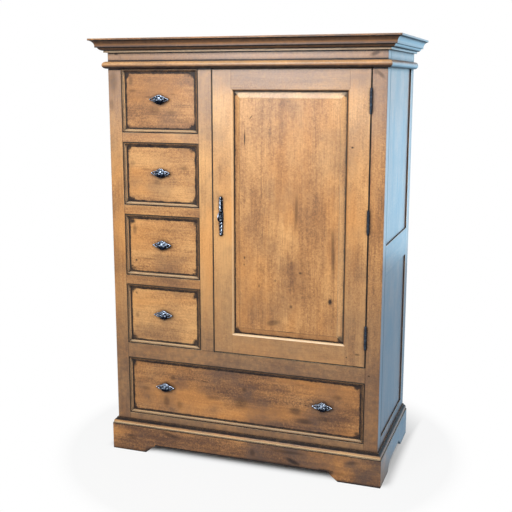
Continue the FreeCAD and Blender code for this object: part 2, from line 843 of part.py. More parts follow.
def door_rail(name, z, sight_up):
    """A door rail between the flats of the stiles, moulded and grooved towards the panel."""
    flat = s.door_stile_width - s.sticking_width
    length = door_right - door_left - 2 * flat
    height = s.door_rail_width
    edge = s.sticking_width
    if sight_up:
        corners = [
            (0, 0),
            (length, 0),
            (length, height - edge),
            (length - edge, height),
            (edge, height),
            (0, height - edge),
        ]
    else:
        corners = [
            (edge, 0),
            (length - edge, 0),
            (length, edge),
            (length, height),
            (0, height),
            (0, edge),
        ]
    piece = Piece(name, (door_left + flat, front, z))
    piece.pad("XZ_Plane", corners, s.door_thickness, backwards=True)
    piece.round_edges([(length / 2, 0, height if sight_up else 0)], s.sticking_radius)
    groove_y, groove_thickness = door_groove()
    piece.box(
        (0, groove_y, height - s.door_groove_depth if sight_up else 0),
        (length, groove_thickness, s.door_groove_depth),
        cut=True,
    )
    node(name, [piece])


def door_panel():
    """The raised panel: a thin edge in the grooves, a sloped border and a flat field."""
    entry = s.door_groove_depth - s.panel_edge_gap
    sight_width = door_right - door_left - 2 * s.door_stile_width
    sight_height = door_height - 2 * s.door_rail_width
    at = (
        door_left + s.door_stile_width - entry,
        front + s.door_panel_setback,
        door_bottom + s.door_rail_width - entry,
    )
    piece = Piece("door_panel", at)
    piece.box(
        (0, 0, 0), (sight_width + 2 * entry, s.door_panel_thickness, sight_height + 2 * entry)
    )
    wide = {"X2min": entry, "X2max": entry + sight_width, "Z2min": entry, "Z2max": entry + sight_height}
    inset = entry + s.bevel_width
    narrow = {
        "Xmin": inset,
        "Xmax": entry + sight_width - s.bevel_width,
        "Zmin": inset,
        "Zmax": entry + sight_height - s.bevel_width,
    }
    depth = {"Ymin": -s.bevel_rise, "Ymax": 0}
    piece.feature("AdditiveWedge", (0, 0, 0), {**wide, **narrow, **depth})
    piece.box(
        (inset, -s.bevel_rise - s.field_step, inset),
        (sight_width - 2 * s.bevel_width, s.field_step, sight_height - 2 * s.bevel_width),
    )
    node("door_panel", [piece])


def door():
    """Frame and raised panel, hung on the right."""
    node("door_lock_stile", [door_stile("door_lock_stile", door_left, True)])
    hinge_stile = door_stile("door_hinge_stile", door_right - s.door_stile_width, False)
    for level in screw_levels:
        hinge_stile.cylinder(
            (s.door_stile_width - s.screw_length, s.screw_setback, level - door_bottom),
            s.screw_radius + s.screw_play,
            s.screw_length,
            FROM_Z_TO_X,
            cut=True,
        )
    node("door_hinge_stile", [hinge_stile])
    door_rail("door_bottom_rail", door_bottom, True)
    door_rail("door_top_rail", door_top - s.door_rail_width, False)
    door_panel()


def hinge_leaf(name, level, on_door):
    """A leaf in the gap, with its knuckles round the pin and three countersunk holes."""
    knuckle = s.hinge_height / 3
    x = axis_x - s.hinge_gap / 2 if on_door else axis_x + s.hinge_gap / 2 - s.leaf_thickness
    y = axis_y
    piece = Piece(name, (x, y, level - s.hinge_height / 2))
    depth = front + s.leaf_depth - y
    piece.box((0, 0, 0), (s.leaf_thickness, depth, s.hinge_height))
    centre_x = axis_x - x
    mine = (1,) if on_door else (0, 2)
    for place in (0, 1, 2):
        if place in mine:
            piece.cylinder(
                (centre_x, 0, place * knuckle + s.knuckle_gap / 2),
                s.knuckle_radius,
                knuckle - s.knuckle_gap,
            )
        else:
            piece.box(
                (-s.knuckle_radius, -s.knuckle_radius, place * knuckle - s.knuckle_gap / 2),
                (
                    2 * s.knuckle_radius,
                    2 * s.knuckle_radius + s.knuckle_gap,
                    knuckle + s.knuckle_gap,
                ),
                cut=True,
            )
    piece.cylinder((centre_x, 0, 0), s.pin_radius + s.pin_play, s.hinge_height, cut=True)
    head = s.screw_head_radius + s.screw_play
    shank = s.screw_radius + s.screw_play
    for offset in (-s.screw_spacing, as_size(0), s.screw_spacing):
        radii = (shank, head) if on_door else (head, shank)
        piece.cone(
            (0, screw_y - y, s.hinge_height / 2 + offset),
            *radii,
            s.leaf_thickness,
            FROM_Z_TO_X,
            cut=True,
        )
    return piece


def hinge_pin(name, level):
    """A pin through the knuckles, with a ball on each end."""
    piece = Piece(name, (axis_x, axis_y, level - s.hinge_height / 2))
    overrun = s.knuckle_gap + s.finial_radius
    piece.cylinder((0, 0, -overrun), s.pin_radius, s.hinge_height + 2 * overrun)
    piece.ball((0, 0, -overrun), s.finial_radius)
    piece.ball((0, 0, s.hinge_height + overrun), s.finial_radius)
    return piece


def hinge_screw(name, level, on_door):
    """A countersunk screw, flush with its leaf."""
    head_x = axis_x - s.hinge_gap / 2 + s.leaf_thickness
    if not on_door:
        head_x = axis_x + s.hinge_gap / 2 - s.leaf_thickness
    turn = turned((0, 1, 0), -90) if on_door else FROM_Z_TO_X
    piece = Piece(name, (head_x, screw_y, level), turn)
    piece.cone((0, 0, 0), s.screw_head_radius, s.screw_radius, s.leaf_thickness)
    piece.cylinder((0, 0, s.leaf_thickness), s.screw_radius, s.screw_length - s.leaf_thickness)
    return piece


def hinges():
    """Three hinges in the gap at the right of the door."""
    levels = list(enumerate(hinge_levels, start=1))
    node("hinge_frame_leaves", [hinge_leaf(f"frame_leaf_{n}", level, False) for n, level in levels])
    node("hinge_door_leaves", [hinge_leaf(f"door_leaf_{n}", level, True) for n, level in levels])
    node("hinge_pins", [hinge_pin(f"hinge_pin_{n}", level) for n, level in levels])
    places = list(enumerate(screw_levels, start=1))
    node("hinge_frame_screws", [hinge_screw(f"frame_screw_{n}", level, False) for n, level in places])
    node("hinge_door_screws", [hinge_screw(f"door_screw_{n}", level, True) for n, level in places])


def door_catch():
    """A catch behind the centre stile, and its plate on the back of the door."""
    catch_x = door_opening_left + s.catch_reach - s.catch_width
    catch_base = door_middle - s.catch_length / 2
    catch_size = (s.catch_width, s.catch_depth, s.catch_length)
    board_node("catch_body", (catch_x, rail_back, catch_base), catch_size)
    plate_size = (s.catch_plate_width, s.catch_plate_thickness, s.catch_length)
    door_back = front + s.door_thickness
    board_node("catch_plate", (door_left + s.door_gap, door_back, catch_base), plate_size)


def door_pull():
    """A long plate with a ball at each end, and a bow on two legs to take hold of."""
    middle_x = door_left + s.plate_inset
    middle_z = door_middle - s.plate_drop
    plate_at = (middle_x - s.plate_width / 2, front, middle_z - s.plate_length / 2)
    plate = Piece("door_pull_plate", plate_at)
    plate.pad("XZ_Plane", section(PLATE_SHARES, s.plate_width, s.plate_length), s.plate_thickness)
    for end in (as_size(0), s.plate_length):
        plate.ball((s.plate_width / 2, -s.plate_thickness / 2, end), s.plate_tip_radius)
    plate.box(
        (0, 0, -s.plate_tip_radius),
        (s.plate_width, s.plate_tip_radius, s.plate_length + 2 * s.plate_tip_radius),
        cut=True,
    )
    node("door_pull_plate", [plate])
    bow = Piece(
        "door_pull", (middle_x, front - s.plate_thickness, middle_z), turned((0, 1, 0), 90)
    )
    ring = bow.feature(
        "AdditiveTorus",
        (0, -s.bow_leg, 0),
        {"Radius1": s.bow_radius, "Radius2": s.bow_wire_radius},
        turned((0, 0, 1), 180),
    )
    ring.Angle3 = 180
    for x in (-s.bow_radius, s.bow_radius):
        bow.cylinder((x, -s.bow_leg, 0), s.bow_wire_radius, s.bow_leg, FROM_Z_TO_BACK)
    node("door_pull", [bow])


def pull(name, middle_x, middle_z):
    """A cast pull: a head with looped ends and a round middle, ball tips, a stem and a shank."""
    face = front + s.drawer_recess
    head_front = face - s.pull_standoff - s.pull_thickness
    at = (middle_x - s.pull_length / 2, head_front + s.pull_thickness, middle_z - s.pull_height / 2)
    piece = Piece(name, at)
    piece.pad("XZ_Plane", section(PULL_SHARES, s.pull_length, s.pull_height), s.pull_thickness)
    piece.bevel_front(s.pull_thickness, s.pull_bevel)
    for shares in PULL_LOOP_SHARES:
        piece.pocket("XZ_Plane", section(shares, s.pull_length, s.pull_height))
    centre = (s.pull_length / 2, s.pull_height / 2)
    boss_y = s.pull_boss_radius - s.pull_boss_rise - s.pull_thickness
    piece.ball((centre[0], boss_y, centre[1]), s.pull_boss_radius)
    for x in (as_size(0), s.pull_length):
        piece.ball((x, -s.pull_thickness / 2, centre[1]), s.pull_tip_radius)
    piece.cylinder((centre[0], 0, centre[1]), s.pull_stem_radius, s.pull_standoff, FROM_Z_TO_BACK)
    piece.cylinder(
        (centre[0], s.pull_standoff, centre[1]), s.shank_radius, s.slab_thickness, FROM_Z_TO_BACK
    )
    return piece


def drawer_moulding(name, x, z, width, height):
    """Four mitred strips round the face of a drawer front."""
    reach = s.drawer_moulding_width
    corners = section(DRAWER_MOULDING_SHARES, reach, s.drawer_recess)
    face = front + s.drawer_recess
    flat_on_face = turned((1, 0, 0), 90)
    sides = [
        ("bottom", (x, face, z), width),
        ("right", (x + width, face, z), height),
        ("top", (x + width, face, z + height), width),
        ("left", (x, face, z + height), height),
    ]
    strips = []
    for quarter, (side, place, length) in enumerate(sides):
        turn = turned((0, -1, 0), 90 * quarter).multiply(flat_on_face)
        piece = Piece(f"{name}_{side}", place, turn)
        piece.pad("YZ_Plane", corners, length)
        piece.pocket("XY_Plane", [(0, 0), (reach, reach), (0, reach)])
        piece.pocket("XY_Plane", [(length, 0), (length, reach), (length - reach, reach)])
        strips.append(piece)
    node(name, strips)


def drawer_box(name, x, z, width, height):
    """Two grooved sides, a back between them, and a bottom."""
    y = rail_back
    wall = s.box_side_thickness
    bottom_z = s.box_bottom_rise
    groove = s.box_bottom_thickness + 2 * s.groove_play
    pieces = []
    for side in ("left", "right"):
        side_x = x if side == "left" else x + width - wall
        piece = Piece(f"{name}_{side}_side", (side_x, y, z))
        piece.box((0, 0, 0), (wall, s.box_depth, height))
        piece.box(
            (wall - s.box_groove_depth if side == "left" else 0, 0, bottom_z - s.groove_play),
            (s.box_groove_depth, s.box_depth, groove),
            cut=True,
        )
        pieces.append(piece)
    inner = width - 2 * wall
    back_z = bottom_z + s.box_bottom_thickness
    back_at = (x + wall, y + s.box_depth - wall, z + back_z)
    pieces.append(board(f"{name}_back", back_at, (inner, wall, height - back_z)))
    entry = s.box_groove_depth - s.groove_play
    pieces.append(
        board(
            f"{name}_bottom",
            (x + wall - entry, y, z + bottom_z),
            (inner + 2 * entry, s.box_depth, s.box_bottom_thickness),
        )
    )
    node(name, pieces)


def drawer(name, opening_x, opening_wide, floor, opening_height):
    """A drawer: front with its moulding, box and one or two pulls."""
    x = opening_x + s.drawer_gap
    z = floor + s.drawer_gap
    width = opening_wide - 2 * s.drawer_gap
    height = opening_height - 2 * s.drawer_gap
    pull_z = floor + opening_height / 2 + s.pull_rise
    pull_xs = [opening_x + opening_wide / 2]
    if name == "wide_drawer":
        pull_xs = [opening_x + s.wide_pull_inset, opening_x + opening_wide - s.wide_pull_inset]
    slab = Piece(f"{name}_front", (x, front + s.drawer_recess, z))
    slab.box((0, 0, 0), (width, s.slab_thickness, height))
    for pull_x in pull_xs:
        slab.cylinder(
            (pull_x - x, 0, pull_z - z),
            s.shank_radius + s.shank_play,
            s.slab_thickness,
            FROM_Z_TO_BACK,
            cut=True,
        )
    node(f"{name}_front", [slab])
    drawer_moulding(f"{name}_moulding", x, z, width, height)
    box_height = opening_height - s.box_top_gap - s.running_gap
    drawer_box(f"{name}_box", x, floor + s.running_gap, width, box_height)
    if len(pull_xs) == 1:
        node(f"{name}_pull", [pull(f"{name}_pull", pull_xs[0], pull_z)])
    else:
        sides = zip(("left", "right"), pull_xs)
        node(f"{name}_pulls", [pull(f"{name}_{side}_pull", pull_x, pull_z) for side, pull_x in sides])


for side in ("left", "right"):
    for end in ("front", "rear"):
        post(f"{side}_{end}_post", side, end)
    side_frame(side)
case_front()
case_boards()
shelving()
runners()
case_moulding("cornice", CORNICE_SHARES, s.cornice_reach, s.cornice_height, cornice_base)
case_moulding("bead", BEAD_SHARES, s.bead_reach, s.bead_height, bead_base)
case_moulding(
    "base_moulding",
    BASE_MOULDING_SHARES,
    s.base_moulding_reach,
    s.base_moulding_height,
    s.plinth_height,
)
plinth()
door()
hinges()
door_catch()
door_pull()
for opening in drawers:
    drawer(*opening)
doc.recompute()

# Every object is sound before anything is written.
for thing in doc.Objects:
    if "Invalid" in thing.State or "Error" in thing.State:
        raise RuntimeError(f"{thing.Label} failed: {thing.State}")
for name, thing in nodes.items():
    shape = thing.Shape
    if shape.isNull() or not shape.isValid():
        raise RuntimeError(f"{name} has no valid shape")

os.makedirs("parts", exist_ok=True)
for name, thing in nodes.items():
    thing.Shape.exportStep(f"parts/{name}.step")
print(len(nodes), "nodes,", sum(len(thing.Shape.Solids) for thing in nodes.values()), "solids")
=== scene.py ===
# %% [markdown]
# # A cupboard of distressed, honey-brown wood
# The construction already exists: sixty named pieces at their real size, in metres, with the
# floor at height zero and the front facing the -Y direction. This lesson gives them their looks.
# It wears the edges of the boards, casts the metal fittings, writes the finish of each kind of
# wood, and sets up the light and the camera. Nothing that moves is resized or shifted.

import json
import math
import random

import bmesh
import bpy
from mathutils import Matrix, Vector, noise

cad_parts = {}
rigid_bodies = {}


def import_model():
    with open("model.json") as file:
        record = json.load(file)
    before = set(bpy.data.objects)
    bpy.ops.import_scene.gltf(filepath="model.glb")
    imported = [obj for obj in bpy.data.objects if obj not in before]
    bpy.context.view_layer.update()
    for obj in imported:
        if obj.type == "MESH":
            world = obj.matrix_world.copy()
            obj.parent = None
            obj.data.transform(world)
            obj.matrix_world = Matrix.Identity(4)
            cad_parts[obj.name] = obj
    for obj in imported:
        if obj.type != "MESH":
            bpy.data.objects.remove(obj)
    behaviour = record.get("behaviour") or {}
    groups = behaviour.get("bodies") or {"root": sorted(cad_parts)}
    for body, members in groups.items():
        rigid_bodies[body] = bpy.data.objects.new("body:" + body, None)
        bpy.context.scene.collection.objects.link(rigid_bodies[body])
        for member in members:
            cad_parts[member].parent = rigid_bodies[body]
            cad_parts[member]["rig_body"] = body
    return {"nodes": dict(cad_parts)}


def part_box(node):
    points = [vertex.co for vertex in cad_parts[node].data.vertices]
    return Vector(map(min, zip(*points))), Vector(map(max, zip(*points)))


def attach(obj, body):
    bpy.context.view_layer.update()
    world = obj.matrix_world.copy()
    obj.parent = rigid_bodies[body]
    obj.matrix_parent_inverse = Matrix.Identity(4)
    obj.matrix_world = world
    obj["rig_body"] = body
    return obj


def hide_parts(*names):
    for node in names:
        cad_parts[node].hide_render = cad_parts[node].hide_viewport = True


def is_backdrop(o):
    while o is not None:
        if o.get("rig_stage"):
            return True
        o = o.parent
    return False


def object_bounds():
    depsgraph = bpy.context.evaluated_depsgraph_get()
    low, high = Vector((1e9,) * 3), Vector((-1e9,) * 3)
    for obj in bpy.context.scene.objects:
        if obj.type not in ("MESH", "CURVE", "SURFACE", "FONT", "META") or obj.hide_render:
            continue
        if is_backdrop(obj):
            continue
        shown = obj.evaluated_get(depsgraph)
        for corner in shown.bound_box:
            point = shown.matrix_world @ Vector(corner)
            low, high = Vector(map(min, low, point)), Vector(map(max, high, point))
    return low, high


for leftover in list(bpy.data.objects):
    bpy.data.objects.remove(leftover)
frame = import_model()
cad_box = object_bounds()
nodes = frame["nodes"]
scene = bpy.context.scene
scene.view_settings.view_transform = "Standard"
MM = 0.001


def in_scene(name, data):
    """A new object at the origin of the scene."""
    thing = bpy.data.objects.new(name, data)
    scene.collection.objects.link(thing)
    return thing


print(len(nodes), "pieces, box", [round(x, 3) for corner in cad_box for x in corner])

# %% [markdown]
# ## The camera
# The cupboard is seen from eye height and a little from its right. The distance and the angles
# follow from the way its long edges run together: the front edges sink to the right, and the side
# is a narrow band. A long lens (60 mm on a full frame) keeps the uprights nearly parallel.

# %% Camera
FILM = 36.0
PICTURE = 512
LENS_IN_PIXELS = 860.5
EYE = Vector((1.1297, -3.285, 1.5169))
YAW = math.radians(19.36)
PITCH = math.radians(10.75)
CENTRE_ABOVE_MIDDLE = 10.79


def aim(thing, direction):
    """Turn a camera or lamp so that it looks along a direction."""
    thing.rotation_mode = "QUATERNION"
    thing.rotation_quaternion = direction.to_track_quat("-Z", "Y")


camera_data = bpy.data.cameras.new("camera")
camera_data.sensor_width = FILM
camera_data.lens = LENS_IN_PIXELS / PICTURE * FILM
camera_data.shift_y = -CENTRE_ABOVE_MIDDLE / PICTURE
camera = in_scene("camera", camera_data)
camera.location = EYE
level = math.cos(PITCH)
aim(camera, Vector((-math.sin(YAW) * level, math.cos(YAW) * level, -math.sin(PITCH))))
scene.camera = camera
print("lens", round(camera_data.lens, 1), "mm")

# %% [markdown]
# ## Writing node trees as sums
# A finish is mostly arithmetic: a mask times a strength, one minus a cloud. `Wire` wraps one
# socket, so that this arithmetic can be written in plain Python; each sign adds a Math node.

# %% Wires
class Wire:
    """One socket of a node tree. Arithmetic on it adds Math nodes."""

    def __init__(self, sheet, socket):
        self.sheet = sheet
        self.socket = socket

    def step(self, start, end):
        """A smooth rise from 0 to 1 while the wire goes from start to end."""
        settings = {"interpolation_type": "SMOOTHSTEP"}
        return self.sheet.node("ShaderNodeMapRange", settings, {0: self, 1: start, 2: end})

    def out(self, name):
        """Another output of the node that this wire leaves."""
        return Wire(self.sheet, self.socket.node.outputs[name])


def arithmetic(operation, swapped):
    """A method that adds one Math node, with the wire as its first term or as its last."""
    def method(wire, *other):
        return wire.sheet.math(operation, *((*other, wire) if swapped else (wire, *other)))
    return method


SIGNS = {
    "__add__": "ADD", "__sub__": "SUBTRACT", "__mul__": "MULTIPLY", "__truediv__": "DIVIDE",
    "__pow__": "POWER", "__abs__": "ABSOLUTE", "least": "MINIMUM", "most": "MAXIMUM",
}
for name, operation in SIGNS.items():
    setattr(Wire, name, arithmetic(operation, swapped=False))
for name in ("add", "sub", "mul"):
    setattr(Wire, f"__r{name}__", arithmetic(SIGNS[f"__{name}__"], swapped=True))
print(len(SIGNS), "ways to join wires")

# %% [markdown]
# ## Sheets
# A `Sheet` holds a node tree and makes every kind of node with one method. What a finish needs
# often has a short name of its own: the parts of a vector, a blend, a cloud of noise.

# %% Sheets
class Sheet:
    """A node tree: of a material, of the world or of a modifier."""

    def __init__(self, tree):
        self.tree = tree

    def node(self, kind, settings=None, sockets=None, out=0):
        """Add a node: its settings first, then the values or links of its sockets."""
        made = self.tree.nodes.new(kind)
        for name, value in (settings or {}).items():
            setattr(made, name, value)
        self.fill(made, sockets or {})
        return Wire(self, made.outputs[out])

    def fill(self, made, sockets):
        """Link or set the sockets of a node."""
        for name, value in sockets.items():
            if isinstance(value, Wire):
                self.tree.links.new(value.socket, made.inputs[name])
            else:
                made.inputs[name].default_value = value

    def math(self, operation, *terms):
        return self.node("ShaderNodeMath", {"operation": operation}, dict(enumerate(terms)))

    def vector_math(self, operation, *terms, out=0):
        settings = {"operation": operation}
        return self.node("ShaderNodeVectorMath", settings, dict(enumerate(terms)), out)

    def parts(self, vector):
        """The three numbers of a vector."""
        first = self.node("ShaderNodeSeparateXYZ", None, {0: vector})
        return first, first.out(1), first.out(2)

    def vector(self, x, y, z):
        return self.node("ShaderNodeCombineXYZ", None, {0: x, 1: y, 2: z})

    def blend(self, factor, start, end):
        """One colour passing into another."""
        settings = {"data_type": "RGBA"}
        return self.node("ShaderNodeMix", settings, {0: factor, 6: start, 7: end}, out=2)

    def cloud(self, place, scale, detail=2.0, roughness=0.5, stretch=(1, 1, 1)):
        """Soft noise between 0 and 1, drawn out along the axes with a small stretch."""
        drawn = self.vector_math("MULTIPLY", place, stretch)
        sockets = {"Vector": drawn, "Scale": scale, "Detail": detail, "Roughness": roughness}
        return self.node("ShaderNodeTexNoise", None, sockets)


print("a sheet knows", ", ".join(name for name in vars(Sheet) if name[0] != "_"))

# %% [markdown]
# ## Finishes and paint
# A `Finish` is the sheet of a material with one shader. Colours are picked on a screen, from 0 to
# 255, and `paint` turns them into amounts of light, because light is what a shader adds up.

# %% Finishes and paint
RELIEF_DEPTH = 0.0004


class Finish(Sheet):
    """A material with one shader, whose sockets are filled at the end."""

    def __init__(self, name):
        self.material = bpy.data.materials.new(name)
        self.material.use_nodes = True
        super().__init__(self.material.node_tree)
        self.shader = self.tree.nodes["Principled BSDF"]

    def attribute(self, name, out="Vector"):
        return self.node("ShaderNodeAttribute", {"attribute_name": name}, out=out)

    def set(self, **sockets):
        """Fill the shader's sockets; a name's words are joined with underscores."""
        self.fill(self.shader, {name.replace("_", " "): value for name, value in sockets.items()})
        return self.material

    def open_sky(self, reach):
        """How open a spot lies: 1 on a plain face, less in a corner within reach."""
        settings = {"samples": 5}
        return self.node("ShaderNodeAmbientOcclusion", settings, {"Distance": reach}, out="AO")

    def relief(self, height, strength):
        """A Bump node for the Normal socket."""
        sockets = {"Height": height, "Distance": RELIEF_DEPTH, "Strength": strength}
        return self.node("ShaderNodeBump", None, sockets)


def paint(red, green, blue):
    """A colour as it is read from a screen, 0 to 255, made linear for the shader."""
    linear = []
    for share in (red / 255, green / 255, blue / 255):
        linear.append(share / 12.92 if share < 0.04045 else ((share + 0.055) / 1.055) ** 2.4)
    return (*linear, 1.0)


print("a grey of 128 sends back", round(paint(128, 128, 128)[0], 3), "of the light")

# %% [markdown]
# ## Light
# The main lamp is soft and stands high on the right in front, as in a studio, so that every
# moulding gets a lit upper side and a dark lower side. A weaker tall lamp on the left is there for
# its mirror image, which makes the varnish shine in the upper middle of the front. The right side
# is seen at such a flat angle that it mirrors what stands behind it: a cool lamp and the floor.

# %% Lamps
LAMPS = {
    "key": {
        "place": (1.3, -3.0, 3.0), "target": (0.0, -0.25, 1.5), "size": (1.6, 1.2),
        "power": 30.5, "spread": 95, "colour": (1.0, 0.985, 0.955),
    },
    "sheen": {
        "place": (-0.85, -3.2, 2.3), "target": (0.0, -0.25, 1.2), "size": (1.0, 2.0),
        "power": 28.0, "spread": 100, "colour": (0.88, 0.95, 1.0),
    },
    "cool": {
        "place": (1.3, 3.1, 1.1), "target": (0.6, 0.0, 1.0), "size": (1.9, 1.8),
        "power": 16.5, "spread": 180, "colour": (0.46, 0.78, 1.0),
    },
}


def lamp(name, place, target, size, power, spread, colour):
    """A soft lamp that the camera doesn't see."""
    data = bpy.data.lights.new(name, "AREA")
    data.shape = "RECTANGLE"
    data.size, data.size_y = size
    data.energy = power
    data.spread = math.radians(spread)
    data.color = colour
    thing = in_scene(name, data)
    thing.location = place
    aim(thing, Vector(target) - Vector(place))
    thing.visible_camera = False


for name, settings in LAMPS.items():
    lamp(name, **settings)
print(len(LAMPS), "lamps are set")

# %% [markdown]
# ## Floor and background
# The camera sees plain white behind the cupboard. What the varnish mirrors is a little darker, and
# bluer towards the back. The floor passes into the white without a rim.

# %% Floor and background
WHITE = (1.0, 1.0, 1.0, 1.0)
FLOOR_RADIUS = 40


def surroundings():
    """White for the camera, pale in mirrors and soft for everything else."""
    world = bpy.data.worlds.new("surroundings")
    world.use_nodes = True
    scene.world = world
    sheet = Sheet(world.node_tree)
    seen = sheet.node("ShaderNodeLightPath", out="Is Camera Ray")
    direction = sheet.node("ShaderNodeTexCoord", out="Generated")
    behind = sheet.parts(direction)[1].step(-0.2, 0.4)
    mirrored = sheet.blend(behind, (0.33, 0.335, 0.345, 1), (0.36, 0.45, 0.55, 1))
    other = sheet.blend(seen.out("Is Glossy Ray"), (0.25, 0.255, 0.26, 1), mirrored)
    colour = sheet.blend(seen, other, WHITE)
    background = world.node_tree.nodes["Background"]
    world.node_tree.links.new(colour.socket, background.inputs["Color"])


def floor():
    """A pale floor whose far part passes into the white of the background, and which glows pale
    blue in mirrors.
    """
    mesh = bpy.data.meshes.new("floor")
    shape = bmesh.new()
    bmesh.ops.create_circle(shape, cap_ends=True, segments=96, radius=FLOOR_RADIUS)
    shape.to_mesh(mesh)
    finish = Finish("floor")
    place = finish.node("ShaderNodeTexCoord", out="Object")
    distance = finish.vector_math("LENGTH", place, out="Value")
    x, y, _ = finish.parts(place)
    under = abs(x).step(0.62, 0.55) * y.step(-0.27, -0.2)
    seen = finish.node("ShaderNodeLightPath", out="Is Camera Ray")
    # Painted reflection: in mirrors the floor glows pale blue, and the cupboard's right side shows
    # it.
    mirrored = seen.out("Is Glossy Ray") * y.step(-0.3, 0.2)
    far = distance.step(0.4, 0.9).most(0.88 * (1.0 - under)) * seen + mirrored * 0.95
    hue = finish.blend(mirrored, WHITE, (0.38, 0.70, 1.0, 1))
    glow = finish.node("ShaderNodeEmission", None, {"Color": hue, "Strength": 1.0})
    finish.set(Base_Color=(0.62, 0.62, 0.62, 1), Roughness=0.9)
    lit = Wire(finish, finish.shader.outputs[0])
    mixed = finish.node("ShaderNodeMixShader", None, {0: far, 1: lit, 2: glow})
    finish.tree.links.new(mixed.socket, finish.tree.nodes["Material Output"].inputs["Surface"])
    mesh.materials.append(finish.material)
    in_scene("floor", mesh)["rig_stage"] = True


surroundings()
floor()
print("the floor reaches", FLOOR_RADIUS, "metres")

# %% [markdown]
# ## Wood, seen as a maker sees it
# A board is a slice of a trunk: growth rings wander along it, fibres run lengthways, and small
# pores open as dashes. The stain turns it honey brown. Then a dark glazing is wiped over the whole
# and stays where the rag doesn't reach: in quirks, corners, worm holes and cracks. The same
# near-black also paints the shade that falls in quirks, corners and gaps and under ledges. The
# pattern is solid, so that it turns the corner of a board as real grain does. Every board carries
# its own grain direction, its size and a random slice of the trunk as attributes of its mesh.

# %% Colours and growth
HONEY = paint(208, 156, 98)
AMBER = paint(160, 109, 62)
ORANGE = paint(206, 138, 68)
UMBER = paint(84, 54, 36)
# Soot for the smoky clouds, and the same colour for painted shade under ledges and for darkening
# towards the bottom.
SOOT = paint(84, 64, 54)
# Near-black for glazing, and for the painted shade in hollows, in gaps and under ledges.
GLAZE = paint(20, 16, 20)
CREAM = paint(238, 204, 160)
RING_SPACING = 0.012
RING_WANDER = 0.12
TRUNK_TAPER = 0.012
GLAZE_REACH = 0.016
CASE_HALF_WIDTH = 0.55
CASE_FRONT = 0.246


def growth(sheet, place):
    """The figure of the wood: rings that wander, drawn-out streaks, fibres and patches."""
    across, through, along = sheet.parts(place)
    wander = sheet.cloud(place, 2.2, 2.0, stretch=(1, 1, 0.35))
    flat = sheet.vector(across, through, 0.0)
    radius = sheet.vector_math("LENGTH", flat, out="Value")
    radius = radius + along * TRUNK_TAPER + wander * RING_WANDER
    settings = {"noise_dimensions": "1D"}
    sockets = {"W": radius / RING_SPACING, "Scale": 1.0, "Detail": 2.0, "Roughness": 0.55}
    rings = sheet.node("ShaderNodeTexNoise", settings, sockets)
    streaks = sheet.cloud(place, 42.0, 4.0, 0.62, stretch=(1, 1, 0.05))
    fibres = sheet.cloud(place, 320.0, 3.0, 0.6, stretch=(1, 1, 0.03))
    patches = sheet.cloud(place, 9.0, 4.0, 0.6, stretch=(1, 1, 0.45))
    return rings, streaks, fibres, patches


print("a ring of growth every", RING_SPACING / MM, "mm")

# %% [markdown]
# ## Where the glaze stays
# Each of these masks says how much dark glaze is left at a point: along a board's edges, on a mark,
# in a gap, inside the frame of a moulding, or in a groove of its profile. Ragged and torn clouds
# move the rims a little to and fro, because no rag wipes along a ruler. Each cloud is given by how
# fine it is, its number of layers and its roughness.

# %% Glaze masks
RAGGED = (130.0, 3.0, 0.6)
TORN = (48.0, 4.0, 0.65)
FLECK = (330.0, 3.0, 0.7)
CORNER_REACH = 0.036


def board_edges(sheet):
    """How far a point lies from its board's sides, ends, nearest long edge and back."""
    middle = sheet.attribute("middle")
    half = sheet.attribute("half")
    away = sheet.vector_math("SUBTRACT", half, sheet.vector_math("ABSOLUTE", middle))
    x, y, z = sheet.parts(away)
    from_back = sheet.parts(sheet.vector_math("SUBTRACT", half, middle))[1]
    return x, z, x.least(y).most(x.most(y).least(z)), from_back


def mark_mask(sheet, place, ragged, mark):
    """One knot, crack or smudge: place, half length and half width, turn and darkness."""
    x, z, length, width, turn, darkness = mark
    sockets = {
        "Vector": place,
        "Location": (x, 0, z),
        "Rotation": (0, math.radians(turn), 0),
        "Scale": (length, 1, width),
    }
    inside = sheet.node("ShaderNodeMapping", {"vector_type": "TEXTURE"}, sockets)
    flat = sheet.vector_math("MULTIPLY", inside, (1, 0, 1))
    distance = sheet.vector_math("LENGTH", flat, out="Value") + (ragged - 0.5) * 2.6
    return distance.step(1.3, 0.35) * darkness


def line_mask(x, z, torn, line):
    """A straight line of painted shade in a gap or under a ledge, from its middle and its half
    sizes.
    """
    middle_x, middle_z, half_x, half_z = line
    outside = (abs(x - middle_x) - half_x).most(abs(z - middle_z) - half_z)
    return outside.step(0.0012, -0.0004) * (0.65 + torn * 0.7)


def border_glaze(sheet, from_side, from_end, torn):
    """Glazing and painted shade along the inner edge of a moulding: a dark line, smudges, and most
    in the corners.
    """
    nearest = from_side.least(from_end)
    line = (nearest - (torn - 0.5) * 0.008).step(0.0052, 0.0018)
    side_share = (1.0 - from_side / CORNER_REACH).most(0.0)
    end_share = (1.0 - from_end / CORNER_REACH).most(0.0)
    corner = (side_share * end_share * 1.5 + (torn - 0.5) * 2.2).step(0.3, 0.8)
    smear = ((side_share.most(end_share) ** 3.0) * (torn * 2.2)).step(0.5, 1.3) * 0.6
    return line.most(corner * side_share.least(end_share).step(0.0, 0.4) * 0.92).most(smear)


def banded(stand, ragged, bands):
    """Glazing and painted shade in bands of a profile: how far each stands out, its half width and
    its strength.
    """
    dark = 0.0
    wavering = stand + (ragged - 0.5) * 0.0022
    for middle, half, strength in bands:
        away = abs(wavering - middle)
        dark = (away.step(half * 1.35, half * 0.6) * strength).most(dark)
    return dark


print("masks are ready, and glaze reaches", GLAZE_REACH / MM, "mm out of a corner")
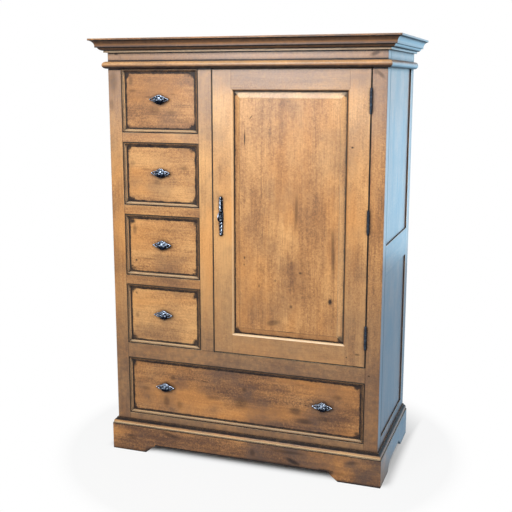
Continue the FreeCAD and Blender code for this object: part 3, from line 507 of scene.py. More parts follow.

# %% [markdown]
# ## One recipe for all the wood
# The colour is laid on in a maker's order: the bare figure of the grain, warm and sooty stains,
# glazing in every mark, painted shade in the hollows and gaps, under ledges and on faces that look
# down or to the left, and at last the wear that lets the pale wood through, with a painted
# highlight on faces that look up.

# %% The finish of the wood
def wood(
    name, tone=0.0, soot=0.35, glaze=1.0, figure=1.0, coat=0.65, shelter=1.0, dust=1.0,
    seam=0.0, seam_reach=0.003, side_seam=0.0, border=None, bands=None,
    marks=(), lines=(), veils=(),
):
    """Stained, glazed and rubbed wood.

    Tone brightens, soot clouds, and figure strengthens the grain. One strength scales the glazing
    and the painted shade together: painted shade in the hollows, and, by its own strength, on
    whatever looks down or to the left. Another strength paints a highlight on what looks up; coat
    is the varnish. The edge darkening goes as far in as its reach: dark joints, and the painted
    shade of a gap. The side_seam darkens the rear edge on the cupboard's side, and border is the
    width of a frame whose inner edge gets glazing and painted shade. Bands of glazing and painted
    shade lie along a moulding's profile. Marks have their own places, straight painted shade lies
    in gaps and under ledges, and a veil of one colour grows between two heights above the floor:
    darker low, painted light and sheen high, or painted shade and highlights on a moulding.
    """
    sheet = Finish(name)
    place = sheet.attribute("grain")
    own_tone = sheet.attribute("tone", out="Fac")
    rubbed = sheet.attribute("rubbed", out="Fac")
    world_place = sheet.node("ShaderNodeTexCoord", out="Object")
    rings, streaks, fibres, patches = growth(sheet, place)
    ragged = sheet.cloud(world_place, *RAGGED)
    torn = sheet.cloud(world_place, *TORN)
    fleck = sheet.cloud(world_place, *FLECK)
    x, y, z = sheet.parts(world_place)
    right, _, up = sheet.parts(sheet.node("ShaderNodeNewGeometry", out="Normal"))

    figures = rings * 0.26 + streaks * 0.42 + patches * 1.05 + fibres * 0.25
    depth = figures + fleck * 1.2 + ragged * 0.85 - 1.515 - own_tone - tone
    colour = sheet.blend(depth.step(0.15, 0.85), HONEY, AMBER)
    veins = (depth + (streaks - 0.5) * 0.6).step(0.6, 1.15) * 0.75 * figure
    colour = sheet.blend(veins, colour, UMBER)
    colour = sheet.blend(fibres.step(0.45, 0.72) * 0.22 * figure, colour, UMBER)

    warm = sheet.cloud(place, 7.0, 3.0, 0.6, stretch=(1, 1, 0.3)).step(0.45, 0.68)
    colour = sheet.blend(warm * 0.4 * figure, colour, ORANGE)
    haze = sheet.cloud(world_place, 5.0, 4.0, 0.62).step(0.42, 0.7)
    colour = sheet.blend((haze * (0.4 + torn * 1.2)).least(1.0) * soot, colour, SOOT)
    # Veils by height: darker towards the bottom, painted light and sheen at the top, painted shade
    # and highlights on mouldings.
    for start, end, strength, tint in veils:
        veil = (z.step(start, end) * (0.35 + torn * 1.3) * strength).least(1.0)
        colour = sheet.blend(veil, colour, tint)

    # Painted shade: spots that ambient occlusion finds in hollows get darker, as shade falls there;
    # glazing collects there too.
    open_sky = sheet.open_sky(GLAZE_REACH)
    hollow = (1.0 - open_sky).step(0.08, 0.45)
    from_side, from_end, nearest, from_back = board_edges(sheet)
    dark = hollow * (0.65 + ragged * 0.8)
    inner = abs(x).step(CASE_HALF_WIDTH - 0.006, CASE_HALF_WIDTH - 0.012)
    # Painted shade: faces that look down, and at the front those that look to the left, turn amber
    # and darker, as the lamps leave them in shade.
    away = 0.0 - up - right * 0.5 * inner
    colour = sheet.blend(away.step(0.04, 0.2) * 0.45 * shelter, colour, AMBER)
    dark = dark.most(away.step(0.15, 0.5) * (0.5 + torn * 0.7) * shelter)
    # Darker board edges: dark joints, and the painted shade of the gap round a drawer's moulding
    # and under the base moulding.
    if seam:
        dark = dark.most(nearest.step(seam_reach, seam_reach / 3) * inner * (0.5 + ragged) * seam)
    if side_seam:
        outer = abs(x).step(CASE_HALF_WIDTH - 0.001, CASE_HALF_WIDTH - 0.0003)
        dark = dark.most(from_back.step(0.015, 0.007) * outer * side_seam)
    # Glazing and painted shade along the inner edge of a frame.
    if border is not None:
        dark = dark.most(border_glaze(sheet, from_side - border, from_end - border, torn))
    # Glazing and painted shade in the grooves of a moulding's profile; the dark mitres are glazing.
    if bands is not None:
        stand = (abs(x) - CASE_HALF_WIDTH).most(0.0 - y - CASE_FRONT)
        mitre = from_side.most(from_end).step(0.034, 0.013) * stand.step(-0.001, -0.0024)
        dark = dark.most(banded(stand, ragged, bands) * (0.65 + torn * 0.7))
        dark = dark.most(mitre * torn * 1.5)
    # One strength scales the glazing and the painted shade together.
    dark = dark * glaze
    pits = 0.0
    for mark in marks:
        rim = torn * 0.3 + ragged * 0.4 + fleck * 0.3
        pits = mark_mask(sheet, world_place, rim, mark).most(pits)
    if marks:
        dark = dark.most(pits)
    # Painted shade in gaps and under ledges.
    for line in lines:
        dark = line_mask(x, z, torn, line).most(dark)
    dark = dark.least(0.98)
    colour = sheet.blend(dark, colour, GLAZE)
    # Painted highlight: pale wood colour on faces that look up, and a little on front faces that
    # look right, where the lamps light them; rubbed edges add real wear in the same colour.
    dusted = (up.step(0.05, 0.2) * 0.8).most(right.step(0.05, 0.2) * inner * 0.3) * (1.0 - hollow)
    dusted = dusted * (1.0 - up.step(0.8, 0.98) * 0.65) * (0.55 + torn * 0.7) * dust
    worn = (rubbed * (0.25 + ragged) * 0.6 * (1.0 - dark * 0.85)).most(dusted)
    colour = sheet.blend(worn, colour, CREAM)

    height = fibres * 0.35 + streaks * 0.35 - (pits * 1.6 if marks else 0.0)
    return sheet.set(
        Base_Color=colour,
        Roughness=0.5 + patches * 0.12 + dark * 0.2,
        Normal=sheet.relief(height, 0.6),
        Specular_IOR_Level=0.3,
        Coat_Weight=right.step(0.3, 0.9).most(coat) - dark * coat * 0.7,
        Coat_Roughness=0.3,
    )


print("wood can be told", wood.__code__.co_argcount - 1, "things")

# %% [markdown]
# ## Marks that an old board collects
# Knots, cracks, dents and dark smudges are soft ellipses with a ragged rim, each given by: how far
# right of the middle and above the floor, half length and half width in millimetres, then the turn
# in degrees and how dark it is. A few of them are painted shade instead: under the plinth's arch
# and in a foot's cut-out, and the painted shadow under each pull. A straight line of painted shade
# in a gap or under a ledge has only its middle and its half sizes.

# %% Marks in the wood
def metres(*rows):
    """Rows whose first four numbers are given in millimetres."""
    return [(*[x * MM for x in row[:4]], *row[4:]) for row in rows]


PANEL_MARKS = metres(
    (40, 1387, 11, 2.2, -52, 0.75), (15, 1310, 2.8, 32, 0, 0.95), (14, 853, 4, 6, 0, 0.7),
    (12, 826, 3, 4, 0, 0.6), (138, 771, 5, 5, 20, 0.6), (237, 808, 6, 5, 0, 0.7),
    (355, 707, 9, 12, 0, 0.95), (202, 674, 6, 7, 0, 0.6), (73, 746, 4, 6, 0, 0.55),
    (219, 1030, 7, 75, 2, 0.42), (363, 890, 8, 90, -2, 0.45), (128, 604, 30, 12, -12, 0.5),
)
STILE_MARKS = metres(
    (429, 1285, 5, 4, 0, 0.9), (422, 498, 3, 3, 0, 0.8), (463, 513, 10, 4, 0, 0.6),
)
WIDE_DRAWER_MARKS = metres(
    (-476, 376, 10, 20, 0, 0.8), (-422, 271, 20, 10, 0, 0.3), (-332, 225, 15, 25, 0, 0.45),
    (-272, 218, 14, 20, 0, 0.4), (-300, 329, 12, 10, 0, 0.5), (10, 317, 12, 10, 0, 0.5),
    (-4, 260, 35, 25, 0, 0.45), (-125, 265, 30, 10, 0, 0.3), (-161, 331, 17, 1.6, 6, 0.8),
    (223, 255, 25, 18, 0, 0.5), (257, 218, 35, 12, 0, 0.55), (263, 284, 4, 3, 0, 0.8),
    (337, 236, 30, 10, 0, 0.4), (388, 330, 20, 12, 0, 0.35), (468, 193, 12, 12, 0, 0.75),
    (278, 177, 6, 3, 0, 0.8),
)
DRAWER_MARKS = {
    1: metres(
        (-457, 1520, 10, 18, 0, 0.4), (-452, 1483, 18, 6, 0, 0.35), (-357, 1408, 26, 18, 0, 0.38),
        (-380, 1459, 18, 4, 0, 0.35), (-289, 1401, 20, 10, 0, 0.25), (-279, 1470, 14, 4, 0, 0.3),
    ),
    2: metres(
        (-457, 1202, 12, 12, 0, 0.3), (-400, 1179, 20, 4, 0, 0.3), (-237, 1187, 20, 8, 0, 0.3),
        (-352, 1128, 20, 10, 0, 0.28), (-203, 1253, 8, 6, 0, 0.5), (-480, 1259, 12, 10, 0, 0.95),
        (-200, 1266, 14, 8, 0, 0.95),
    ),
    3: metres(
        (-457, 937, 10, 22, 0, 0.45), (-452, 811, 5, 5, 0, 0.85), (-391, 819, 30, 3, 0, 0.35),
        (-467, 778, 8, 6, 0, 0.6), (-466, 969, 14, 10, 0, 0.95), (-189, 789, 6, 10, 0, 0.9),
        (-192, 975, 9, 9, 0, 0.8),
    ),
    4: metres(
        (-470, 491, 14, 6, 0, 0.9), (-196, 494, 9, 11, 0, 0.95), (-454, 582, 10, 12, 0, 0.35),
        (-456, 534, 12, 6, 0, 0.3), (-474, 692, 12, 12, 0, 0.9), (-188, 689, 6, 9, 0, 0.7),
    ),
}
# The first three marks are painted shade: under the plinth's arch and in the left foot's cut-out.
PLINTH_MARKS = metres(
    (150, 34, 260, 11, 0, 0.8), (-392, 12, 40, 15, -20, 1), (350, 34, 40, 12, 0, 1),
    (-300, 90, 48, 10, 12, 0.6), (52, 68, 12, 14, 0, 0.5), (200, 92, 75, 7, 0, 0.55),
    (222, 55, 35, 10, 20, 0.8), (-480, 60, 20, 12, 0, 0.4), (455, 85, 30, 8, -10, 0.45),
)
CASE_MARKS = metres(
    (505, 1616, 22, 8, -20, 0.6), (-512, 1622, 10, 4, 0, 0.85), (-529, 1520, 20, 50, 0, 0.35),
    (-538, 1428, 12, 25, 0, 0.3), (509, 434, 5, 4, 0, 0.8), (523, 1545, 26, 7, 42, 0.5),
    (508, 1552, 10, 10, 0, 0.4),
)
# Straight lines of painted shade: in the gaps round the door, above the bead, under the cornice, at
# the cornice's steps, under the plinth's arch and along its top edge.
DOOR_GAPS = metres(
    (-114.3, 1015, 2.7, 550), (493.5, 1015, 3, 550), (190, 464.5, 304.5, 2.6),
    (0, 1564.5, 560, 2.8),
)
CASE_LINES = DOOR_GAPS + metres((0, 1596.5, 600, 2.4), (0, 1626.6, 600, 2))
CORNICE_LINES = metres(
    (0, 1672, 620, 1.7), (0, 1646.1, 620, 1.9), (0, 1636.4, 620, 1.3),
)
PLINTH_LINES = metres((-8.5, 34, 366.5, 4.2), (460, 1, 110, 3.2), (0, 111, 568, 2.2))
print(sum(map(len, DRAWER_MARKS.values())), "marks on the small drawers")

# %% [markdown]
# ## The wood of each board
# Bands give the glazing and painted shade of a moulding by how far its profile stands out there:
# middle, half width and strength. Veils tint a piece between two heights above the floor: darker
# towards the bottom, a pale painted light and a grey painted sheen at the top, and on the cornice,
# bead and base moulding painted shade under a ledge or a painted highlight on a fillet. What is
# left unsaid stays as it is in the common recipe.

# %% The wood of each board
MOULDING_WIDTH = 0.015
PANEL_TONGUE = 0.009
# Bands of glazing and painted shade in the quirks of the drawer mouldings and in the cove of the
# base moulding.
DRAWER_BANDS = [(-0.0024, 0.0009, 0.9), (-0.0082, 0.0018, 1.0)]
# Veils by height. On the case, the door and the side a piece gets darker towards the bottom, and
# near the top a pale painted light and a grey painted sheen lie over it. On the cornice and the
# bead the dark veil is painted shade under a ledge, and the cream veils on the cornice and the base
# moulding are painted highlights on a fillet.
MIST = paint(128, 104, 92)
PALE = paint(232, 206, 176)
CASE_VEILS = [(0.95, 0.35, 0.65, SOOT), (1.15, 1.5, 0.08, PALE), (1.22, 1.5, 0.6, MIST)]
SIDE_VEILS = [(1.2, 0.4, 0.5, UMBER)]
DOOR_VEILS = [(1.05, 0.5, 0.45, SOOT), (1.15, 1.5, 0.15, PALE), (1.44, 1.54, 0.62, MIST)]
CORNICE_VEILS = [(1.6745, 1.6715, 0.72, SOOT), (1.6366, 1.6356, 0.35, CREAM)]
BEAD_VEILS = [(1.587, 1.571, 1.0, SOOT)]
BASE_BANDS = [(0.0082, 0.0048, 1.0)]
BASE_VEILS = [(0.1195, 0.1175, 0.7, CREAM)]
DRAWER_TONES = {1: -0.24, 2: -0.06, 3: 0.0, 4: 0.08}
DIRT_OFFSET = (0.003, 0.007)
DIRT = (0.036, 0.018, 0, 0.75)
PULL_SPREAD = 0.331


def under_pull(node_name, shift=0.0):
    """The painted shadow of a pull on the drawer's face, a little right of its middle and below it.
    """
    low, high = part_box(node_name)
    right, down = DIRT_OFFSET
    return ((low[0] + high[0]) / 2 + right + shift, (low[2] + high[2]) / 2 - down, *DIRT)


WIDE_PULL_MARKS = [under_pull("wide_drawer_pulls", shift) for shift in (-PULL_SPREAD, PULL_SPREAD)]
DRAWER_MOULDING = dict(figure=0.4, seam=1.2, seam_reach=0.005, bands=DRAWER_BANDS)
WOODS = {
    "case_wood": dict(
        soot=0.4, seam=0.35, side_seam=0.75, marks=CASE_MARKS, lines=CASE_LINES, veils=CASE_VEILS
    ),
    "side_wood": dict(tone=-0.25, soot=0.6, glaze=1.2, seam=0.3, side_seam=0.75, veils=SIDE_VEILS),
    "door_wood": dict(tone=0.04, seam=0.3, marks=STILE_MARKS, lines=DOOR_GAPS, veils=DOOR_VEILS),
    "panel_wood": dict(tone=-0.06, soot=0.3, dust=0.35, border=PANEL_TONGUE, marks=PANEL_MARKS),
    "drawer_moulding_wood": dict(DRAWER_MOULDING, dust=0.5),
    "wide_moulding_wood": dict(DRAWER_MOULDING, tone=-0.1, dust=0.45),
    "wide_drawer_wood": dict(
        tone=-0.33, soot=0.65, figure=1.3, border=MOULDING_WIDTH,
        marks=WIDE_DRAWER_MARKS + WIDE_PULL_MARKS,
    ),
    "cornice_wood": dict(
        tone=-0.4, soot=0.95, glaze=0.7, coat=0.35, bands=[],
        lines=CORNICE_LINES, veils=CORNICE_VEILS,
    ),
    "bead_wood": dict(tone=-0.2, soot=0.55, dust=0.25, veils=BEAD_VEILS),
    "base_moulding_wood": dict(dust=0.0, bands=BASE_BANDS, veils=BASE_VEILS),
    "plinth_wood": dict(
        tone=-0.33, soot=0.85, figure=1.3, seam=0.8, seam_reach=0.004,
        marks=PLINTH_MARKS, lines=PLINTH_LINES,
    ),
}
# Each small drawer also gets the painted shadow of its pull.
for number, marks in DRAWER_MARKS.items():
    marks.append(under_pull(f"drawer_{number}_pull"))
    look = dict(tone=DRAWER_TONES[number], soot=0.45, border=MOULDING_WIDTH, marks=marks)
    WOODS[f"drawer_{number}_wood"] = look
WOODS["inner_wood"] = dict(tone=0.16, soot=0.1, glaze=0.35, figure=0.8, shelter=0.0)
WOODS["back_wood"] = dict(tone=0.02, soot=0.25, glaze=0.5, shelter=0.0)
FINISHES = {name: wood(name, **look) for name, look in WOODS.items()}
print(len(FINISHES), "finishes of wood")

# %% [markdown]
# ## Grain for every board
# A piece can hold several boards, such as three rails. Each one gets its own grain: lengthways
# along its longest side, from its own random slice of the trunk, and a little lighter or darker.

# %% Grain of the boards
MITRED = ("moulding", "cornice", "bead", "plinth")
BOARD_TONES = {
    "left_front_post": 0.04, "right_front_post": -0.2, "centre_stile": 0.14,
    "door_lock_stile": 0.1, "door_hinge_stile": -0.02, "door_top_rail": -0.12,
    "door_bottom_rail": 0.2, "drawer_rails": -0.12, "waist_rail": 0.08, "bottom_rail": 0.2,
}


def solids(shape):
    """The separate solids of a shape, each as a list of point numbers."""
    shape.verts.index_update()
    shape.verts.ensure_lookup_table()
    waiting = set(range(len(shape.verts)))
    found = []
    while waiting:
        group = [waiting.pop()]
        for index in group:
            for edge in shape.verts[index].link_edges:
                other = edge.other_vert(shape.verts[index]).index
                if other in waiting:
                    waiting.discard(other)
                    group.append(other)
        found.append(group)
    return found


def span(shape, group):
    """The low and the high corner of some points of a shape."""
    places = [shape.verts[index].co for index in group]
    return [Vector(pick(place[k] for place in places) for k in range(3)) for pick in (min, max)]


def grain_attributes(mesh, name):
    """Write on every separate board where its grain runs, where its middle is and its size.

    The strips of a mitred frame or moulding each have their own grain, but one common middle.
    """
    shape = bmesh.new()
    shape.from_mesh(mesh)
    bmesh.ops.split_edges(shape, edges=[edge for edge in shape.edges if len(edge.link_faces) > 2])
    shape.to_mesh(mesh)
    frame_low, frame_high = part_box(name)
    rows = {key: [None] * len(shape.verts) for key in ("grain", "middle", "half", "tone")}
    for number, group in enumerate(solids(shape)):
        draw = random.Random(f"{name} {number}")
        low, high = span(shape, group)
        size = high - low
        along = max(range(3), key=lambda k: size[k])
        rest = [k for k in range(3) if k != along]
        thin = min(rest, key=lambda k: size[k])
        through = 1 if 1 in rest and size[1] < 1.3 * size[thin] else thin
        across = 3 - along - through
        slice_place = (draw.uniform(-0.09, 0.09), draw.uniform(0.05, 0.2), draw.uniform(0, 9))
        tone = draw.uniform(-0.06, 0.06) + BOARD_TONES.get(name, 0.0)
        middle = (low + high) / 2
        if name.endswith(MITRED):
            low, high = Vector(frame_low), Vector(frame_high)
        for index in group:
            place = shape.verts[index].co
            ordered = [place[k] - middle[k] for k in (across, through, along)]
            rows["grain"][index] = [part + start for part, start in zip(ordered, slice_place)]
            rows["middle"][index] = list(place - (low + high) / 2)
            rows["half"][index] = list((high - low) / 2)
            rows["tone"][index] = [tone]
    shape.free()
    for key, values in rows.items():
        kind = "FLOAT" if key == "tone" else "FLOAT_VECTOR"
        layer = mesh.attributes.new(key, kind, "POINT")
        field = "value" if key == "tone" else "vector"
        layer.data.foreach_set(field, [x for row in values for x in row])


print(len(BOARD_TONES), "boards are lighter or darker than the rest")

# %% [markdown]
# ## Where an edge may wear
# An edge is worn where hands and boxes knock it: a little everywhere, with a nick now and then.
# Where two boards of one frame meet, both were sanded level, so their edges stay sharp there.

# %% Edges and joints
SAME_PLACE = 1e-6
SAME_PLANE = math.radians(0.5)
JOINT_REACH = 0.0004
WANDER_SCALE = 9.0
NICK_SCALE = 31.0
NICK_SHIFT = Vector((7, 3, 5))
NICK_START = 0.42


def joined_copy(node_name):
    """A CAD piece's triangles, joined into flat faces again."""
    shape = bmesh.new()
    shape.from_mesh(nodes[node_name].data)
    bmesh.ops.remove_doubles(shape, verts=shape.verts, dist=SAME_PLACE)
    bmesh.ops.dissolve_limit(
        shape, angle_limit=SAME_PLANE, verts=shape.verts, edges=shape.edges
    )
    return shape


def solid_boxes(names):
    """The box of every separate solid in some pieces."""
    boxes = []
    for name in names:
        shape = joined_copy(name)
        boxes += [(name, *span(shape, group)) for group in solids(shape)]
        shape.free()
    return boxes


def flush(node_name, place):
    """Whether another board of the same frame meets this one there, sanded level with it."""
    for name, low, high in FRAME_BOXES:
        rows = zip(low, place, high)
        if name != node_name and all(a - JOINT_REACH < x < b + JOINT_REACH for a, x, b in rows):
            return True
    return False


def wear_weight(place, wear):
    """How deep an edge is worn at a place: a gentle wander, and a nick now and then."""
    wander = noise.noise(place * WANDER_SCALE)
    nick = max(0.0, noise.noise(place * NICK_SCALE + NICK_SHIFT) - NICK_START) / 0.3
    return min(1.0, 0.34 + 0.16 * wander + wear * nick)


BOARDS = {
    "case_wood": [
        "left_front_post", "right_front_post", "left_rear_post", "right_rear_post", "centre_stile",
        "top_rail", "drawer_rails", "waist_rail", "bottom_rail",
    ],
    "door_wood": ["door_lock_stile", "door_hinge_stile", "door_top_rail", "door_bottom_rail"],
}
SIDE_RAILS = ["left_side_rails", "right_side_rails"]
FRAME_BOXES = solid_boxes(BOARDS["case_wood"] + SIDE_RAILS + BOARDS["door_wood"])
print(len(FRAME_BOXES), "boards meet in the frames")

# %% [markdown]
# ## Crisp corners and soft wear
# Light tells a crisp corner from a worn one by the normals of its points. A flat face keeps its
# own normal, a worn edge turns gradually from one face to the next, and a moulding's curve runs
# smoothly, up to the angle called soft.

# %% Corners and curves
SHARP = math.radians(28)
FLAT = math.radians(6)
WORN_TURN = math.radians(60)


def part_corners(mesh, soft):
    """Part the mesh along its crisp edges, so that a corner's point never carries two normals.

    The renderer keeps one normal for a point. Worn edges stay whole, as they turn gradually.
    """
    shape = bmesh.new()
    shape.from_mesh(mesh)
    crisp = []
    for edge in shape.edges:
        if edge.is_manifold:
            worn = any(face.material_index == 1 for face in edge.link_faces)
            if edge.calc_face_angle(0.0) > (WORN_TURN if worn else soft):
                crisp.append(edge)
    bmesh.ops.split_edges(shape, edges=crisp)
    shape.to_mesh(mesh)
    shape.free()


def shade(mesh, soft):
    """Give every corner its normal: flat faces stay flat, curves and worn edges run smoothly.

    Two flat faces are parts of one curve where they meet at less than the angle called soft.
    """
    around = [[] for _ in mesh.vertices]
    for face in mesh.polygons:
        for index in face.vertices:
            around[index].append(face)
    alike = math.cos(soft)
    normals = []
    for face in mesh.polygons:
        face.use_smooth = True
        for index in face.vertices:
            flat = [other for other in around[index] if other.material_index == 0]
            if flat:
                nearest = max(flat, key=lambda other: other.normal.dot(face.normal))
                flat = [other for other in flat if other.normal.dot(nearest.normal) > alike]
            normal = Vector()
            for other in flat or around[index]:
                normal += other.normal * (other.area if flat else 1.0)
            normals.append(normal.normalized() if normal.length > 1e-12 else face.normal)
    mesh.normals_split_custom_set(normals)
    touched = [0.0 if any(face.material_index == 0 for face in faces) else 1.0 for faces in around]
    mesh.attributes.new("rubbed", "FLOAT", "POINT").data.foreach_set("value", touched)
    mesh.polygons.foreach_set("material_index", [0] * len(mesh.polygons))


print("edges of more than", round(math.degrees(SHARP)), "degrees are worn")

# %% [markdown]
# ## Boards with worn edges
# A planed board in a program has edges sharper than any real one. Each visible board is copied,
# its loose triangles are joined into faces, and its sharp edges are divided every few
# centimetres. Every division gets its own bevel weight from a noise, with a few deep nicks, so
# that a Bevel modifier rounds the edge a little more here and a little less there.

# %% Worn boards
DIVISION = 0.028


def plain_mesh(thing, name):
    """The evaluated mesh of an object that is then removed."""
    graph = bpy.context.evaluated_depsgraph_get()
    mesh = bpy.data.meshes.new_from_object(thing.evaluated_get(graph), depsgraph=graph)
    bpy.data.objects.remove(thing)
    mesh.name = name
    return mesh


def add_piece(name, mesh, node_name, slot, extra_nodes=()):
    """Put a finished mesh in the scene, riding where the piece that it replaces rides."""
    thing = in_scene(name, mesh)
    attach(thing, nodes[node_name]["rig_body"])
    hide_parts(node_name, *extra_nodes)


def worn_board(node_name, finish, slot, width=0.0022, wear=0.5, soft=FLAT):
    """The piece that replaces a board: the same shape with worn edges."""
    shape = joined_copy(node_name)
    layer = shape.edges.layers.float.new("bevel_weight_edge")
    sharp = [edge for edge in shape.edges if edge.is_manifold and edge.calc_face_angle(0.0) > SHARP]
    for edge in sharp:
        edge[layer] = 1.0
        start = edge.verts[0]
        for left in range(int(edge.calc_length() / DIVISION), 0, -1):
            _, start = bmesh.utils.edge_split(edge, start, 1 / (left + 1))
    for edge in shape.edges:
        if edge[layer] > 0:
            middle = (edge.verts[0].co + edge.verts[1].co) / 2
            edge[layer] = 0.0 if flush(node_name, middle) else wear_weight(middle, wear)
    mesh = bpy.data.meshes.new(node_name)
    shape.to_mesh(mesh)
    shape.free()
    mesh.materials.clear()
    mesh.materials.append(FINISHES[finish])
    mesh.materials.append(FINISHES[finish])
    mesh.polygons.foreach_set("material_index", [0] * len(mesh.polygons))
    thing = in_scene(node_name, mesh)
    bevel = thing.modifiers.new("wear", "BEVEL")
    bevel.limit_method = "WEIGHT"
    bevel.width = width
    bevel.segments = 2
    bevel.use_clamp_overlap = False
    bevel.material = 1
    worn = plain_mesh(thing, node_name)
    low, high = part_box(node_name)
    for vert in worn.vertices:
        vert.co = [min(max(x, start), end) for x, start, end in zip(vert.co, low, high)]
    worn.update()
    grain_attributes(worn, node_name)
    part_corners(worn, soft)
    shade(worn, soft)
    worn.materials.pop(index=1)
    add_piece(f"{node_name}_worn", worn, node_name, slot)


print("long edges are divided every", round(DIVISION / MM), "mm")

# %% [markdown]
# ## Every visible board
# Each board gets its finish. The mouldings have finer edges than the boards, and their
# curves run smoothly.

# %% Visible boards
for finish, names in BOARDS.items():
    for name in names:
        worn_board(name, finish, finish, soft=SHARP if finish == "door_wood" else FLAT)
for name in (*SIDE_RAILS, "left_side_panels", "right_side_panels"):
    worn_board(name, "side_wood", "case_wood")
for number in DRAWER_MARKS:
    worn_board(f"drawer_{number}_front", f"drawer_{number}_wood", "drawer_wood")
worn_board("door_panel", "panel_wood", "door_wood")
worn_board("wide_drawer_front", "wide_drawer_wood", "drawer_wood")
worn_board("plinth", "plinth_wood", "case_wood")
for name in ("cornice", "bead", "base_moulding"):
    worn_board(name, f"{name}_wood", "case_wood", width=0.0012, wear=0.6, soft=SHARP)
DRAWERS = ["drawer_1", "drawer_2", "drawer_3", "drawer_4", "wide_drawer"]
for name in DRAWERS:
    finish = "wide_moulding_wood" if name == "wide_drawer" else "drawer_moulding_wood"
    worn_board(f"{name}_moulding", finish, "drawer_wood", width=0.0007, wear=0.8, soft=SHARP)
worn = [thing for thing in bpy.data.objects if thing.name.endswith("_worn")]
print(len(worn), "worn pieces with", sum(len(thing.data.polygons) for thing in worn), "faces")

# %% [markdown]
# ## Inside
# Drawer boxes, shelves, partition and floors are plain planed boards without stain, and the back
# is a thin panel. They are shown when a drawer is out or the door is open. Their edges are only
# just softened. Hinges, screws and catch are small iron pieces, whose solids are already right.

# %% Inner boards and ironwork
INNER = [
    "partition", "waist_board", "bottom_board", "shelves", "shelf_cleats", "drawer_runners",
    "drawer_stops", *[f"{name}_box" for name in DRAWERS], "top_board",
]
for name in INNER:
    worn_board(name, "inner_wood", "inner_wood", width=0.0008, wear=0.2)
worn_board("back_panel", "back_wood", "back_board", width=0.0005, wear=0.2)


def iron():
    """Blackened iron: nearly black, a little blue, with rubbed spots of bare metal."""
    sheet = Finish("dark_iron")
    place = sheet.node("ShaderNodeTexCoord", out="Object")
    speckle = sheet.cloud(place, 420.0, 3.0, 0.6)
    rubbed = sheet.cloud(place, 90.0, 2.0).step(0.52, 0.75)
    colour = sheet.blend(speckle.step(0.35, 0.75), paint(24, 28, 36), paint(58, 72, 90))
    colour = sheet.blend(rubbed * 0.5, colour, paint(88, 106, 128))
    return sheet.set(
        Base_Color=colour,
        Metallic=0.5,
        Roughness=0.68 - rubbed * 0.15,
        Normal=sheet.relief(speckle, 0.6),
    )


FINISHES["dark_iron"] = iron()
for name in (
    "hinge_door_leaves", "hinge_frame_leaves", "hinge_pins", "hinge_door_screws",
    "hinge_frame_screws", "catch_body", "catch_plate",
):
    nodes[name].data.materials.clear()
    nodes[name].data.materials.append(FINISHES["dark_iron"])
print(len(INNER) + 1, "inner pieces; the ironwork is black")

# %% [markdown]
# ## Recipes of geometry
# Scrolls, twists and repeated castings are made with Geometry Nodes. A recipe is a small node
# tree with named inputs for its sizes. `Recipe` builds one, runs it on a mesh of guide points and
# returns the result as a plain mesh.

# %% Recipe helper
class Recipe(Sheet):
    """A tree of Geometry Nodes with named inputs."""

    def __init__(self, name, **inputs):
        tree = bpy.data.node_groups.new(name, "GeometryNodeTree")
        super().__init__(tree)
        tree.interface.new_socket("Geometry", in_out="INPUT", socket_type="NodeSocketGeometry")
        tree.interface.new_socket("Geometry", in_out="OUTPUT", socket_type="NodeSocketGeometry")
        for key, value in inputs.items():
            kind = "NodeSocketFloat" if isinstance(value, float) else "NodeSocketMaterial"
            tree.interface.new_socket(key, in_out="INPUT", socket_type=kind).default_value = value
        self.start = tree.nodes.new("NodeGroupInput")
        self.end = tree.nodes.new("NodeGroupOutput")

    def input(self, name="Geometry"):
        return Wire(self, self.start.outputs[name])

    def field(self, name):
        """A number that is stored on the guide points."""
        return self.node("GeometryNodeInputNamedAttribute", {"data_type": "FLOAT"}, {0: name})

    def join(self, *bodies):
        made = self.tree.nodes.new("GeometryNodeJoinGeometry")
        for body in bodies:
            self.tree.links.new(body.socket, made.inputs[0])
        return Wire(self, made.outputs[0])

    def stand(self, body, **sockets):
        """Stand a copy of a body on every guide point, make them real and give them their metal."""
        sockets = {"Points": self.input(), "Instance": body, **sockets}
        copies = self.node("GeometryNodeInstanceOnPoints", None, sockets)
        real = self.node("GeometryNodeRealizeInstances", None, {0: copies})
        dressed = self.node("GeometryNodeSetMaterial", None, {0: real, 2: self.input("material")})
        self.tree.links.new(dressed.socket, self.end.inputs[0])
        return self

    def run(self, guide):
        """Evaluate the recipe on a mesh of guide points."""
        thing = in_scene(self.tree.name, guide)
        modifier = thing.modifiers.new("recipe", "NODES")
        modifier.node_group = self.tree
        return plain_mesh(thing, self.tree.name)


def guide_points(places, **rows):
    """A mesh of loose points with one stored number per point and name."""
    mesh = bpy.data.meshes.new("guide")
    mesh.from_pydata([tuple(place) for place in places], [], [])
    for name, values in rows.items():
        layer = mesh.attributes.new(name, "FLOAT", "POINT")
        layer.data.foreach_set("value", values)
    return mesh


print("recipes can be written")

# %% [markdown]
# ## Cast pewter
# The pulls are cast in a soft grey metal with a dark patina in the hollows. Each casting stores how
# far a spot faces forwards and up; the finish uses that number and the depth of the hollows to
# choose between a pale blue painted highlight on spots that face forwards and up and dark: patina
# in the hollows, painted shade on the sides and undersides.

